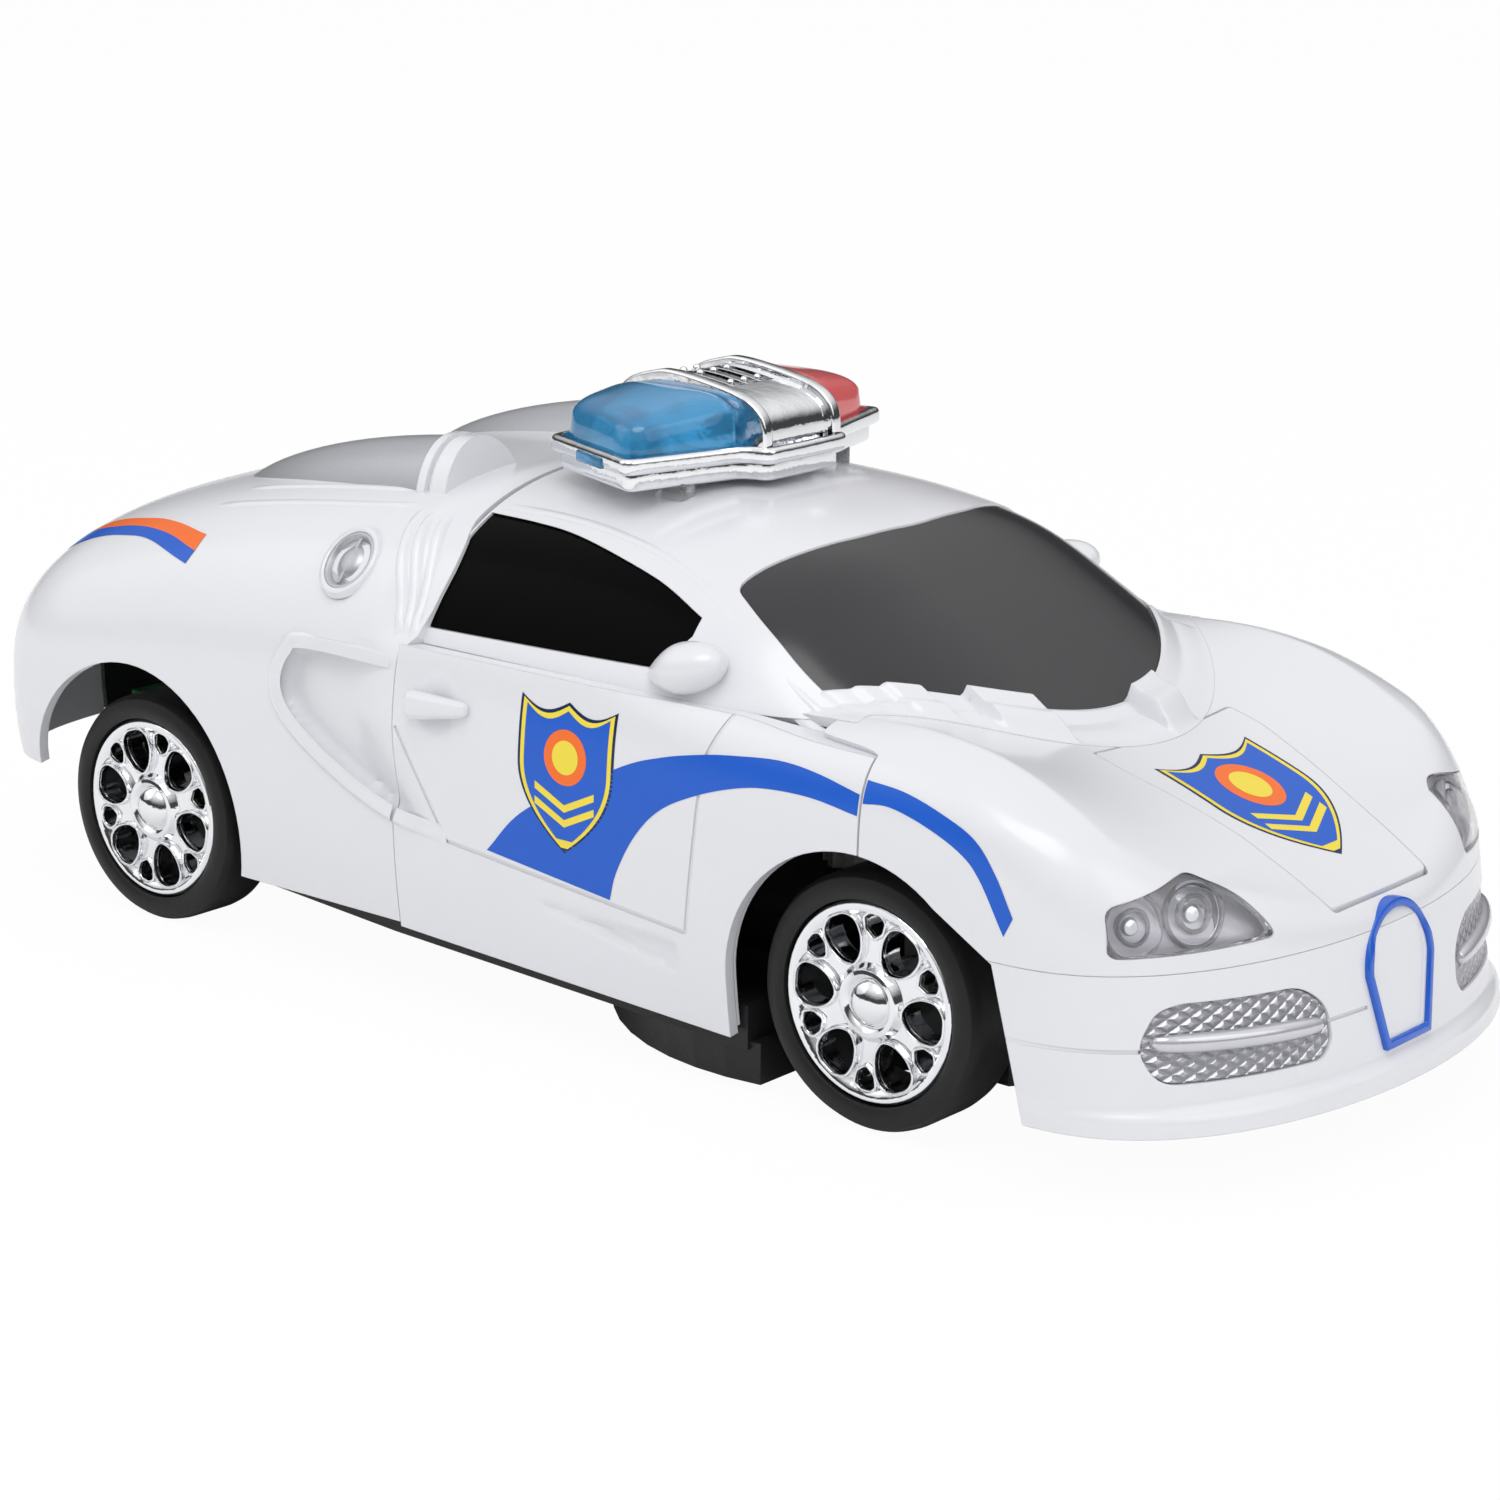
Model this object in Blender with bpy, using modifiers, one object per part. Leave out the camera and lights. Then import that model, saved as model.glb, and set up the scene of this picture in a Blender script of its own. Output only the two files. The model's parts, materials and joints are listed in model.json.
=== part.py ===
"""A battery-driven toy car whose front half lifts, spreads its sides and shows a robot.

The script builds every piece at rest, closed as a car and standing on Z = 0.
X runs to the nose, Y to the car's left side and Z up. Sizes are in millimetres
and are scaled to metres as each mesh is made. Lengths along X are measured from
the middle of the wheelbase; the empty named toy then centres the whole car.
"""

import math

import bmesh
import bpy
from mathutils import Matrix, Vector

MM = 0.001

# Stance and overall form
WHEELBASE = 136.0
TYRE_RADIUS = 17.24
TYRE_WIDTH = 11.0
TYRE_SHOULDER = 1.6
WHEEL_FACE_Y = 44.2
FRONT_AXLE_RISE = 0.3
BODY_HALF_WIDTH = 47.5
TAIL_X = -108.5
NOSE_X = 120.4
NOSE_DEPTH = 30.0
NOSE_FULLNESS = 0.4
LIP_DEPTH = 1.4

# Walls, fits and seams
WALL = 1.6
FIT = 0.3
SEAM = 0.6
HOOD_COVER = 1.0
FIRST_SHARE = 0.01

# Body lines: (place along the car, height) of the centre line and the fender crest
DECK_LINE = ((-112, 46), (-96, 56), (-80, 62), (-60, 67), (-40, 70), (-16, 71.9))
ROOF_LINE = ((-20, 71.8), (0, 72.6), (15, 72.6), (30, 71.5), (43, 68.8), (55, 62.6), (67, 55), (84, 43.4))
HOOD_LINE = ((55, 53), (80, 47.4), (90, 44.6), (100, 41.0), (108, 37.2), (116, 32.4), (119.5, 30.2))
CREST_LINE = ((55, 53.5), (70, 54.2), (80, 53.2), (87, 51.2), (94, 48), (100, 44.4), (104, 41.5), (107, 39))
CREST_Y = 37.0
CREST_POWER = 2.6
WAIST_Z = 30.0
LAMP_LINE_Z = 29.0
NOSE_ROUND = (2.5, 11.0)
NOSE_ROUND_POWER = 2.4
REAR_POWER = 3.2
CABIN_POWER = 2.75
CABIN_HALF_WIDTH = BODY_HALF_WIDTH - 1.5
FENDER_POWER = 6.0
SIDE_TUCK = 1.2

# Tail, seams and lower edges
TAIL_START_X = -78.0
TAIL_POWER = 3.5
TAIL_OPEN_ANGLE = math.radians(12.7)
TAIL_BOTTOM_Z = 20.5
REAR_BOTTOM_Z = 13.0
REAR_SEAM_X = -17.3
CABIN_REAR_X = -15.3
SILL_Z = 52.4
PANEL_REAR_X = -16.3
PANEL_FRONT_X = 68.4
PANEL_TOP = ((-17, 51.7), (45, 51.7), (58, 50.6), (70, 50.2))
PANEL_BOTTOM = ((-17, 11.3), (48, 8.6))
FRONT_SEAM_X = 69.1
COWL_X = 80.5
COWL_CORNER = (58.5, 36.0)
FENDER_SEAM_Y = (41.6, 43.8)
WINDSCREEN_SWEEP = 3.5
BUMPER_BOTTOM_Z = 9.0
BUMPER_LEAN = 0.15
BUMPER_MID_Z = 18.0
LIP_TOP_Z = 12.6

# Openings in the shells: outlines seen from the side, from above or from the front
ARCH_RADIUS = 21.0
REAR_ARCH_RADIUS = 22.8
ARCH_FRONT = ((90.0, 28.6), (95.4, 8.6), (97.5, -5.0))
SIDE_WINDOW = ((-12.3, 53.6), (-7.2, 67.6), (14, 66.6), (31, 61.8), (33.6, 59.6), (29.5, 54.3))
WINDSCREEN = ((78.5, 0), (75.5, 14), (66.5, 27), (56.5, 35.3), (37, 30.5), (43, 15), (44.5, 0))
FLAP = ((85.4, 17.0), (114.0, 11.0))
PANE_THICKNESS = 1.2
CUT_TOP = (20.0, 100.0)
CUT_SIDE = (20.0, 62.0)
CUT_NOSE = (92.0, 130.0)
HEADLAMP = ((24.6, 38.6), (22.2, 31.8), (42.2, 31.0), (39.6, 38.2))
FOG_LAMP = ((37.5, 18.5), (34.5, 24.3), (20.5, 25.6), (17.6, 20.5), (19.5, 14.6), (32.5, 13.4))
GRILLE_TOP_Z = 29.0
GRILLE_BOTTOM_Z = 13.6
GRILLE_HALF_WIDTH = 7.6
GRILLE_FOOT = 4.4
GRILLE_ARCH = 8.0
GRILLE_BAR = 1.5
GRILLE_PROUD = 1.2
COWL_HALF_WIDTH = 31.0
COWL_REACH = (7.0, 2.2)
COWL_BLOCK_X = (73.0, 78.0)
COWL_BLOCK_Y = 10.0
COWL_BLOCK_HALF = 2.5
COWL_BLOCK_Z = (49.6, 53.4)

# Fittings on the shells
HUMP_CENTRE = (-26.0, 20.0, 63.6)
HUMP_RADII = (47.0, 8.6, 12.0)
HUMP_TILT = math.radians(-6.0)
HUMP_FACE_X = -22.0
HUMP_FACE_LEAN = 0.35
HUMP_BASE_Z = 59.0
FILLER_FOOT = (-26.6, BODY_HALF_WIDTH - 9.5, 57.5)
FILLER_TIP = (-26.6, BODY_HALF_WIDTH - 2.9, 62.3)
FILLER_RADIUS = 5.6
MIRROR_CENTRE = (36.0, BODY_HALF_WIDTH - 3.6, 56.6)
MIRROR_RADII = (5.2, 4.4, 3.6)

# Robot pieces: the arm seen from the side, then half plans of the chest and of the head
ARM_OUTLINE = ((-8, 24), (4, 20), (16, 22), (20, 28), (44, 30), (44, 41), (14, 42), (2, 38), (-8, 36))
CHEST_HALF_WIDTH = BODY_HALF_WIDTH - 5.9
CHEST_HALF_PLAN = ((-9.0, CHEST_HALF_WIDTH), (44.0, CHEST_HALF_WIDTH), (56.0, 34.0), (60.0, 24.0))
ARM_THICKNESS = 4.4
CHEST_THICKNESS = 2.6
CHEST_DROP = 2.3
CHEST_RAIL = (-9.0, 42.0, CHEST_HALF_WIDTH - 1.0, 1.0)
CHEST_RIB = (2.0, 46.0, 1.5, 2.0)
CHEST_RIB_Y = (-24.0, -12.0, 12.0, 24.0)
HEAD_HALF_PLAN = ((6.0, 8.0), (10.0, 9.0), (22.0, 8.2), (26.0, 5.0), (27.0, 0.0))
HEAD_DEPTH = (1.4, 12.3)
HEAD_BROW = (1.6, 1.2)
HEAD_VISOR = (1.4, -2.0)
HEAD_SLOPE = math.radians(23.0)

# Joints
LIFT_X = (REAR_SEAM_X + CABIN_REAR_X) / 2
LIFT_Z = 70.4
LIFT_PIN_RADIUS = 0.7
LIFT_PIN_HALF = 22.0
ARM_PIVOT = (67.3, 46.2)
FLAP_PIVOT = (84.6, 46.0)
LEVER_PIVOT = (-11.0, 32.0)
LEVER_TIP = (38.0, 41.0)
LEVER_RADIUS = 3.0
LEVER_HALF_WIDTH = 2.5

# Wheels and axles
RIM_RADIUS = 13.6
AXLE_RADIUS = 1.5
AXLE_END_Y = 40.0
HUB_RADIUS = 4.8
HUB_DOME = 0.9
BOSS_RADIUS = 4.0
SPOKE_DEPTH = 2.2
SPOKE_THICKNESS = 2.4
RIM_LIP = 1.4
RIM_SINK = 0.4
RIM_WINDOWS = 6
RIM_WINDOW_LARGE = (6.0, 11.0, 1.9)
RIM_WINDOW_SMALL = (8.4, 10.8, 0.9)
RIM_WINDOW_TURN = 0.2

# Drive unit under the floor
TURRET_RADIUS = 35.5
TURRET_DRUM_RADIUS = 20.5
TURRET_BOTTOM_Z = 0.8
TURRET_TOP_Z = 17.6
TURRET_FLAT_RADIUS = 32.5
TURRET_EDGE = 1.8
SKIRT_X = 42.0
SKIRT_RADIUS = 43.4
SKIRT_Z = (1.4, 3.4)
SKIRT_FRONT_X = 49.6
SKIRT_TURN_IN = 0.05
SPIGOT_RADIUS = 4.0
SPIGOT_HEIGHT = 8.0
DRIVE_RADIUS = 8.0
DRIVE_WIDTH = 5.0
DRIVE_Y = 13.0
DRIVE_AXLE_RADIUS = 1.2
DRIVE_EDGE = 0.6
DRIVE_SLOT_GAP = 1.0
DRIVE_AXLE_OVERHANG = 1.5
BRIDGE_HALF = 6.0
BRIDGE_FOOT_Y = 30.0
BRIDGE_LEG = 3.0
BRIDGE_THICKNESS = 2.4
GEAR_RADIUS = 9.0
GEAR_TEETH = 14
GEAR_THICKNESS = 3.0

# Chassis and what it holds
FLOOR_Z = 6.5
FLOOR_THICKNESS = 2.0
TRAY_TOP_Z = 16.0
TRAY_HALF_WIDTH = 33.0
TRAY_NECK_HALF = 32.0
TRAY_ENDS = (-100.0, 86.0)
TRAY_WAIST = (-43.0, 48.0)
TRAY_TAIL_HALF = 24.0
TRAY_WALL = 2.0
FLANGE_HALF_WIDTH = BODY_HALF_WIDTH - 4.0
FLANGE_TOP_Z = 12.6
SILL_STRIP = 2.4
TRAY_TAB = (-36.0, -22.0, BODY_HALF_WIDTH - 3.3, 11.0)
AXLE_BRACKET = (4.0, 2.0, 5.0)
AXLE_BRACKET_Y = 29.0
BAY_MIDDLE_X = -35.0
BAY_HALF_WIDTH = 23.5
BAY_PLAY = 1.25
BAY_WALL = 2.0
BAY_COVER = 1.0
CELL_RADIUS = 7.25
CELL_LENGTH = 50.5
CELL_PITCH = 15.2
DOOR_THICKNESS = 1.3
DOOR_HALF_WIDTH = 27.0
DOOR_OVERLAP = 4.0
SCREW_RADIUS = 1.2
SCREW_HEAD_RADIUS = 2.5
SCREW_HEAD_HEIGHT = 1.4
SCREW_LENGTH = 5.0
BOSS_WALL = 1.7
GEARBOX = (-50.0, -18.0, 16.0)
GEARBOX_BASE = 5.0
GEARBOX_TOWER = (6.0, 2.0, 17.0)
LUG_WIDTH = 3.0
LUG_REACH = 4.0
LEVER_PIN_RADIUS = 1.2
MOTOR_RADIUS = 8.0
MOTOR_LENGTH = 25.0
MOTOR_RISE = 10.0
BOARD = (-99.0, -79.0, 20.0, 1.6)
BOARD_Z = 24.0
BOARD_POST_Y = 16.0
BOARD_POST_RADIUS = 2.2
SWITCH_AT = (-86.0, 26.0)
SWITCH_TRAVEL = 4.0
SWITCH_SIZE = 5.0
SWITCH_HEIGHT = 1.9
SWITCH_STEM = (1.5, 1.2, 1.5)
SPEAKER_RADIUS = 11.0
SPEAKER_HEIGHT = 5.0
SPEAKER_X = -87.0

# Roof light bar: plan outline of one half, then heights
BAR_PLAN = ((-9.0, 0.0), (-8.0, 20.0), (15.5, 28.5), (26.4, 12.4), (27.0, 0.0))
BAR_TRAY = (74.6, 78.2)
BAR_LENS_TOP = 84.8
BAR_LENS_FALL = 0.22
BAR_LENS_CROWN = 0.006
BAR_LENS_TAPER = 0.12
BAR_LENS_CORNER = 5.0
BAR_LENS_ROUND = ((0.4, 1.1), (0.7, 0.8), (0.9, 0.4))
BAR_RIM = 1.2
BAR_POCKET = 1.4
BAR_MIDDLE_X = 8.0
BAR_FEET = ((2.0, -14.0), (2.0, 14.0), (18.0, -14.0), (18.0, 14.0))
BAR_FOOT_RADIUS = 2.6
BAR_COVER_HALF = 11.0
BAR_COVER_TOP = 86.4
BAR_COVER_X = (-6.6, 24.4)
BAR_SLOTS = 4
BAR_SLOT = (1.4, 3.8, 0.3)
BAR_SLOT_REACH = (0.12, 0.62)

BAY = (
    BAY_MIDDLE_X - CELL_LENGTH / 2 - BAY_PLAY,
    BAY_MIDDLE_X + CELL_LENGTH / 2 + BAY_PLAY,
    BAY_HALF_WIDTH,
)
SCREW_X = BAY[1] + BAY_WALL + SCREW_RADIUS + BOSS_WALL + FIT
TURRET_X = SCREW_X + DOOR_OVERLAP + 2 * FIT + TURRET_RADIUS
REAR_AXLE_X = -WHEELBASE / 2
FRONT_AXLE_X = WHEELBASE / 2
REAR_AXLE_Z = TYRE_RADIUS
FRONT_AXLE_Z = TYRE_RADIUS + FRONT_AXLE_RISE
FLOOR_TOP_Z = FLOOR_Z + FLOOR_THICKNESS
LIP_X = NOSE_X + BUMPER_LEAN * (BUMPER_MID_Z - BUMPER_BOTTOM_Z) + LIP_DEPTH
TAIL_EDGE_X = TAIL_START_X + (TAIL_X - TAIL_START_X) * math.cos(TAIL_OPEN_ANGLE) ** (2 / TAIL_POWER)
CENTRE_X = (TAIL_EDGE_X + LIP_X) / 2

# Facets of the curved shells: along the car or down, then across
REAR_GRID = (11, 20)
CABIN_GRID = (10, 16)
HOOD_GRID = (11, 22)
HOOD_SPACING = 0.75
BUMPER_GRID = (4, 20)
PANEL_GRID = (12, 6)
TURN_STEPS = 20
TYRE_STEPS = 26
RIM_STEPS = 14

# Finishes: colour, roughness, metallic
FINISHES = {
    "white_shell": ((0.86, 0.87, 0.88), 0.22, 0.0),
    "black_plastic": ((0.02, 0.02, 0.022), 0.45, 0.0),
    "dark_glazing": ((0.03, 0.03, 0.035), 0.12, 0.0),
    "silver_paint": ((0.55, 0.56, 0.58), 0.3, 0.6),
    "chrome": ((0.85, 0.86, 0.88), 0.08, 1.0),
    "tyre": ((0.025, 0.025, 0.025), 0.6, 0.0),
    "blue_lens": ((0.02, 0.12, 0.5), 0.1, 0.0),
    "red_lens": ((0.7, 0.02, 0.03), 0.1, 0.0),
    "clear_lens": ((0.75, 0.77, 0.8), 0.1, 0.0),
    "blue_paint": ((0.02, 0.13, 0.55), 0.3, 0.0),
    "grey_robot": ((0.32, 0.34, 0.38), 0.4, 0.0),
    "steel": ((0.6, 0.6, 0.62), 0.3, 1.0),
    "board": ((0.03, 0.25, 0.08), 0.5, 0.0),
    "cell": ((0.75, 0.45, 0.1), 0.35, 0.3),
    "gear_plastic": ((0.8, 0.78, 0.7), 0.5, 0.0),
}


def mix(low, high, share):
    return low + (high - low) * share


def ease(share):
    share = min(max(share, 0.0), 1.0)
    return share * share * (3 - 2 * share)


def smooth_curve(knots, x):
    """Height of the smooth line through the knots, held level past its ends."""
    if x <= knots[0][0]:
        return knots[0][1]
    if x >= knots[-1][0]:
        return knots[-1][1]
    last = len(knots) - 1
    index = next(i for i in range(last) if x <= knots[i + 1][0])

    def slope(k):
        before, after = max(k - 1, 0), min(k + 1, last)
        return (knots[after][1] - knots[before][1]) / (knots[after][0] - knots[before][0])

    (x0, z0), (x1, z1) = knots[index], knots[index + 1]
    span = x1 - x0
    t = (x - x0) / span
    start, end = slope(index) * span, slope(index + 1) * span
    return (
        (2 * t**3 - 3 * t**2 + 1) * z0
        + (t**3 - 2 * t**2 + t) * start
        + (3 * t**2 - 2 * t**3) * z1
        + (t**3 - t**2) * end
    )


def crown(y, half_width, power):
    """Share of a section's height that is left at distance y from the centre plane."""
    return max(1 - abs(y / half_width) ** power, 0.0) ** (1 / power)


def rear_point(u, v):
    """Rear shell: u runs from the tail to the roof seam, v from the right edge to the left."""
    tail_share, round_share = 0.45, 0.8
    if u < tail_share:
        angle = mix(TAIL_OPEN_ANGLE, math.pi / 2, u / tail_share)
        shrink = math.sin(angle) ** (2 / TAIL_POWER)
        x = mix(TAIL_START_X, TAIL_X, abs(math.cos(angle)) ** (2 / TAIL_POWER))
    else:
        shrink = 1.0
        x = mix(TAIL_START_X, REAR_SEAM_X, (u - tail_share) / (1 - tail_share))
    width = BODY_HALF_WIDTH * shrink
    top = mix(WAIST_Z, smooth_curve(DECK_LINE, x), shrink)
    side = 1 if v > 0.5 else -1
    across = abs(2 * v - 1)
    if across < round_share:
        angle = math.pi / 2 * across / round_share
        y = width * math.sin(angle) ** (2 / REAR_POWER)
        z = mix(WAIST_Z, top, math.cos(angle) ** (2 / REAR_POWER))
    else:
        drop = (across - round_share) / (1 - round_share)
        bottom = mix(REAR_BOTTOM_Z, TAIL_BOTTOM_Z, ease((REAR_AXLE_X - x) / 20 + 0.5))
        y = width - SIDE_TUCK * shrink * drop * drop
        z = mix(WAIST_Z, bottom, drop)
    return Vector((x, side * y, z))


def cabin_section_y(station, z):
    share = (z - WAIST_Z) / (smooth_curve(ROOF_LINE, station) - WAIST_Z)
    return CABIN_HALF_WIDTH * crown(share, 1.0, CABIN_POWER)


def hood_rear_x(y):
    """Rear edge of the hood: the cowl's arc, the fender's corner, then the front seam."""
    corner_x, corner_y = COWL_CORNER
    if abs(y) < corner_y:
        return mix(COWL_X, corner_x, (y / corner_y) ** 2)
    inner, outer = FENDER_SEAM_Y
    return mix(corner_x, FRONT_SEAM_X, ease((abs(y) - inner) / (outer - inner)))


def cabin_point(u, v):
    """Cabin shell: u runs from the roof seam to the cowl, v from the right sill to the left."""
    side = 1 if v > 0.5 else -1
    across = abs(2 * v - 1)
    corner_station = COWL_CORNER[0] + WINDSCREEN_SWEEP
    edge = cabin_section_y(mix(CABIN_REAR_X, corner_station, u), SILL_Z)
    y = edge * math.sin(math.pi / 2 * across) ** 0.8
    sweep = WINDSCREEN_SWEEP * (y / COWL_CORNER[1]) ** 2
    front = min(hood_rear_x(y), COWL_X) if y < COWL_CORNER[1] else COWL_CORNER[0]
    station = mix(CABIN_REAR_X, front - SEAM + sweep, u)
    roof = smooth_curve(ROOF_LINE, station)
    z = mix(WAIST_Z, roof, crown(y, CABIN_HALF_WIDTH, CABIN_POWER))
    return Vector((station - sweep * u * u, side * y, z))


def plan_x(y):
    """Front outline of the car seen from above, at the middle of the bumper."""
    return NOSE_X - NOSE_DEPTH * (1 - max(1 - (y / BODY_HALF_WIDTH) ** 2, 0.0) ** NOSE_FULLNESS)


def hood_top(x, y):
    blend = min(abs(y) / CREST_Y, 1.0) ** CREST_POWER
    return mix(smooth_curve(HOOD_LINE, x), smooth_curve(CREST_LINE, x), blend)


def hood_front_x(y):
    return plan_x(y) - BUMPER_LEAN * (LAMP_LINE_Z - BUMPER_MID_Z)


def hood_height(x, y):
    """Height of the hood, which rounds down to the bumper's top edge over its last stretch."""
    reach = mix(*NOSE_ROUND, min(abs(y) / CREST_Y, 1.0) ** 2)
    behind = min(max(1 - (hood_front_x(y) - x) / reach, 0.0), 1.0)
    share = crown(y, BODY_HALF_WIDTH, FENDER_POWER) * crown(behind, 1.0, NOSE_ROUND_POWER)
    return mix(LAMP_LINE_Z, hood_top(x, y), share)


def hood_point(u, v):
    """Hood and fenders: u runs from the cowl to the bumper, v from the right side to the left."""
    side = 1 if v > 0.5 else -1
    y = BODY_HALF_WIDTH * math.sin(math.pi / 2 * abs(2 * v - 1)) ** 0.75
    x = mix(hood_rear_x(y), hood_front_x(y), u ** HOOD_SPACING)
    return Vector((x, side * y, hood_height(x, y)))


def hood_cover(u, v):
    """The hood's surface with its rear and front edges drawn out a little."""
    point = hood_point(u, v)
    if u < FIRST_SHARE:
        point.x -= HOOD_COVER
    if u > 1 - FIRST_SHARE:
        point.x += HOOD_COVER
    return point


def bumper_x(y, z):
    lip = LIP_DEPTH * ease((LIP_TOP_Z - z) / 1.6)
    return plan_x(y) - BUMPER_LEAN * (z - BUMPER_MID_Z) + lip


def bumper_point(u, v):
    """Bumper: u runs from its top edge down to the lip, v from the right end to the left."""
    side = 1 if v > 0.5 else -1
    y = BODY_HALF_WIDTH * math.sin(math.pi / 2 * abs(2 * v - 1)) ** (1 / 1.3)
    z = mix(LAMP_LINE_Z - SEAM, BUMPER_BOTTOM_Z, u)
    return Vector((bumper_x(y, z), side * y, z))


def panel_y(x, z):
    """Outer face of the side panel, turning from the cabin's round side to the fender's."""
    rear = BODY_HALF_WIDTH
    front = BODY_HALF_WIDTH
    if z > WAIST_Z:
        deck = smooth_curve(DECK_LINE, REAR_SEAM_X)
        rear *= crown((z - WAIST_Z) / (deck - WAIST_Z), 1.0, REAR_POWER)
        crest = smooth_curve(CREST_LINE, FRONT_SEAM_X)
        front *= crown((z - LAMP_LINE_Z) / (crest - LAMP_LINE_Z), 1.0, FENDER_POWER)
    tuck = SIDE_TUCK * max((WAIST_Z - z) / (WAIST_Z - REAR_BOTTOM_Z), 0.0) ** 2
    return mix(rear, front, ease((x - 20) / (FRONT_SEAM_X - 20))) - tuck


def panel_point(side):
    """Side panel of one side: u runs to the nose, v down on the left and up on the right."""

    def point(u, v):
        x = mix(PANEL_REAR_X, PANEL_FRONT_X, u)
        down = v if side > 0 else 1 - v
        z = mix(smooth_curve(PANEL_TOP, x), smooth_curve(PANEL_BOTTOM, x), down)
        return Vector((x, side * panel_y(x, z), z))

    return point


def rounded(corners, radius, steps=2):
    """The outline with each corner turned by a curve that starts a radius away from it."""
    outline = []
    for index, corner in enumerate(corners):
        here = Vector(corner)
        before = Vector(corners[index - 1]) - here
        after = Vector(corners[(index + 1) % len(corners)]) - here
        reach = min(radius, before.length / 2.2, after.length / 2.2)
        start, end = here + before.normalized() * reach, here + after.normalized() * reach
        for step in range(steps + 1):
            t = step / steps
            outline.append(tuple((1 - t) ** 2 * start + 2 * t * (1 - t) * here + t * t * end))
    return outline


def inset(corners, distance):
    """The outline moved inwards by a distance, or outwards where that is negative."""
    area = sum(a[0] * b[1] - a[1] * b[0] for a, b in zip(corners, corners[1:] + corners[:1]))
    turn = 1 if area > 0 else -1
    moved = []
    for index, corner in enumerate(corners):
        here = Vector(corner)
        back = (here - Vector(corners[index - 1])).normalized()
        ahead = (Vector(corners[(index + 1) % len(corners)]) - here).normalized()
        normal = Vector((-back.y - ahead.y, back.x + ahead.x))
        normal *= 2 / max(normal.length_squared, 0.4)
        moved.append(tuple(here + turn * distance * normal))
    return moved


def mirrored(half):
    """A closed outline from its half at positive Y, given as (x, y)."""
    return list(half) + [(x, -y) for x, y in reversed(half) if y > 0]


def prism(outline, axis, low, high):
    """The outline drawn out along an axis: seen from the side, from above or from the front."""
    place = {
        "x": lambda a, b: (low, a, b),
        "y": lambda a, b: (a, low, b),
        "z": lambda a, b: (a, b, low),
    }[axis]
    reach = Vector([(high - low) * (axis == name) for name in "xyz"])
    bm = bmesh.new()
    face = bm.faces.new([bm.verts.new(place(a, b)) for a, b in outline])
    drawn = bmesh.ops.extrude_face_region(bm, geom=[face])
    moved = [item for item in drawn["geom"] if isinstance(item, bmesh.types.BMVert)]
    bmesh.ops.translate(bm, vec=reach, verts=moved)
    bmesh.ops.recalc_face_normals(bm, faces=bm.faces[:])
    return bm


def box(x0, x1, y0, y1, z0, z1):
    bm = bmesh.new()
    middle = Matrix.Translation(((x0 + x1) / 2, (y0 + y1) / 2, (z0 + z1) / 2))
    size = Matrix.Diagonal((x1 - x0, y1 - y0, z1 - z0, 1))
    bmesh.ops.create_cube(bm, size=1, matrix=middle @ size)
    return bm


def rod(start, end, radius, segments=16):
    """A round bar between two points."""
    start, end = Vector(start), Vector(end)
    turn = Vector((0, 0, 1)).rotation_difference(end - start).to_matrix().to_4x4()
    bm = bmesh.new()
    bmesh.ops.create_cone(
        bm,
        cap_ends=True,
        segments=segments,
        radius1=radius,
        radius2=radius,
        depth=(end - start).length,
        matrix=Matrix.Translation((start + end) / 2) @ turn,
    )
    return bm


def ball(centre, radii, segments=16, rings=10):
    bm = bmesh.new()
    matrix = Matrix.Translation(centre) @ Matrix.Diagonal((*radii, 1))
    bmesh.ops.create_uvsphere(bm, u_segments=segments, v_segments=rings, radius=1, matrix=matrix)
    return bm


def joined(*pieces):
    """One mesh that holds several separate pieces."""
    whole = bmesh.new()
    for piece in pieces:
        mesh = bpy.data.meshes.new("piece")
        piece.to_mesh(mesh)
        piece.free()
        whole.from_mesh(mesh)
        bpy.data.meshes.remove(mesh)
    return whole


def surface(point, along, across):
    """An open grid laid on a surface that is given as a function of two shares."""
    bm = bmesh.new()
    bmesh.ops.create_grid(bm, x_segments=along, y_segments=across, size=1)
    for vert in bm.verts:
        vert.co = point((vert.co.x + 1) / 2, (vert.co.y + 1) / 2)
    return bm


def on_side(side, point):
    """A point given for the left side, moved to the side asked for."""
    x, y, z = point
    return Vector((x, side * y, z))


def trim(bm, place, normal):
    """Cuts off what lies beyond a plane, on the side that its normal points to, and caps the cut."""
    every = bm.verts[:] + bm.edges[:] + bm.faces[:]
    bmesh.ops.bisect_plane(bm, geom=every, plane_co=place, plane_no=normal, clear_outer=True)
    bmesh.ops.holes_fill(bm, edges=[edge for edge in bm.edges if edge.is_boundary])


def gear_outline(radius, teeth):
    """A spur gear's outline: each tooth is a tapered block with a flat tip."""
    depth, outline = radius / teeth * 2, []
    for tooth in range(teeth):
        root = radius - depth
        for share, reach in ((0.0, root), (0.3, root), (0.42, radius), (0.8, radius)):
            angle = 2 * math.pi * (tooth + share) / teeth
            outline.append((TURRET_X + reach * math.cos(angle), reach * math.sin(angle)))
    return outline


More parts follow.
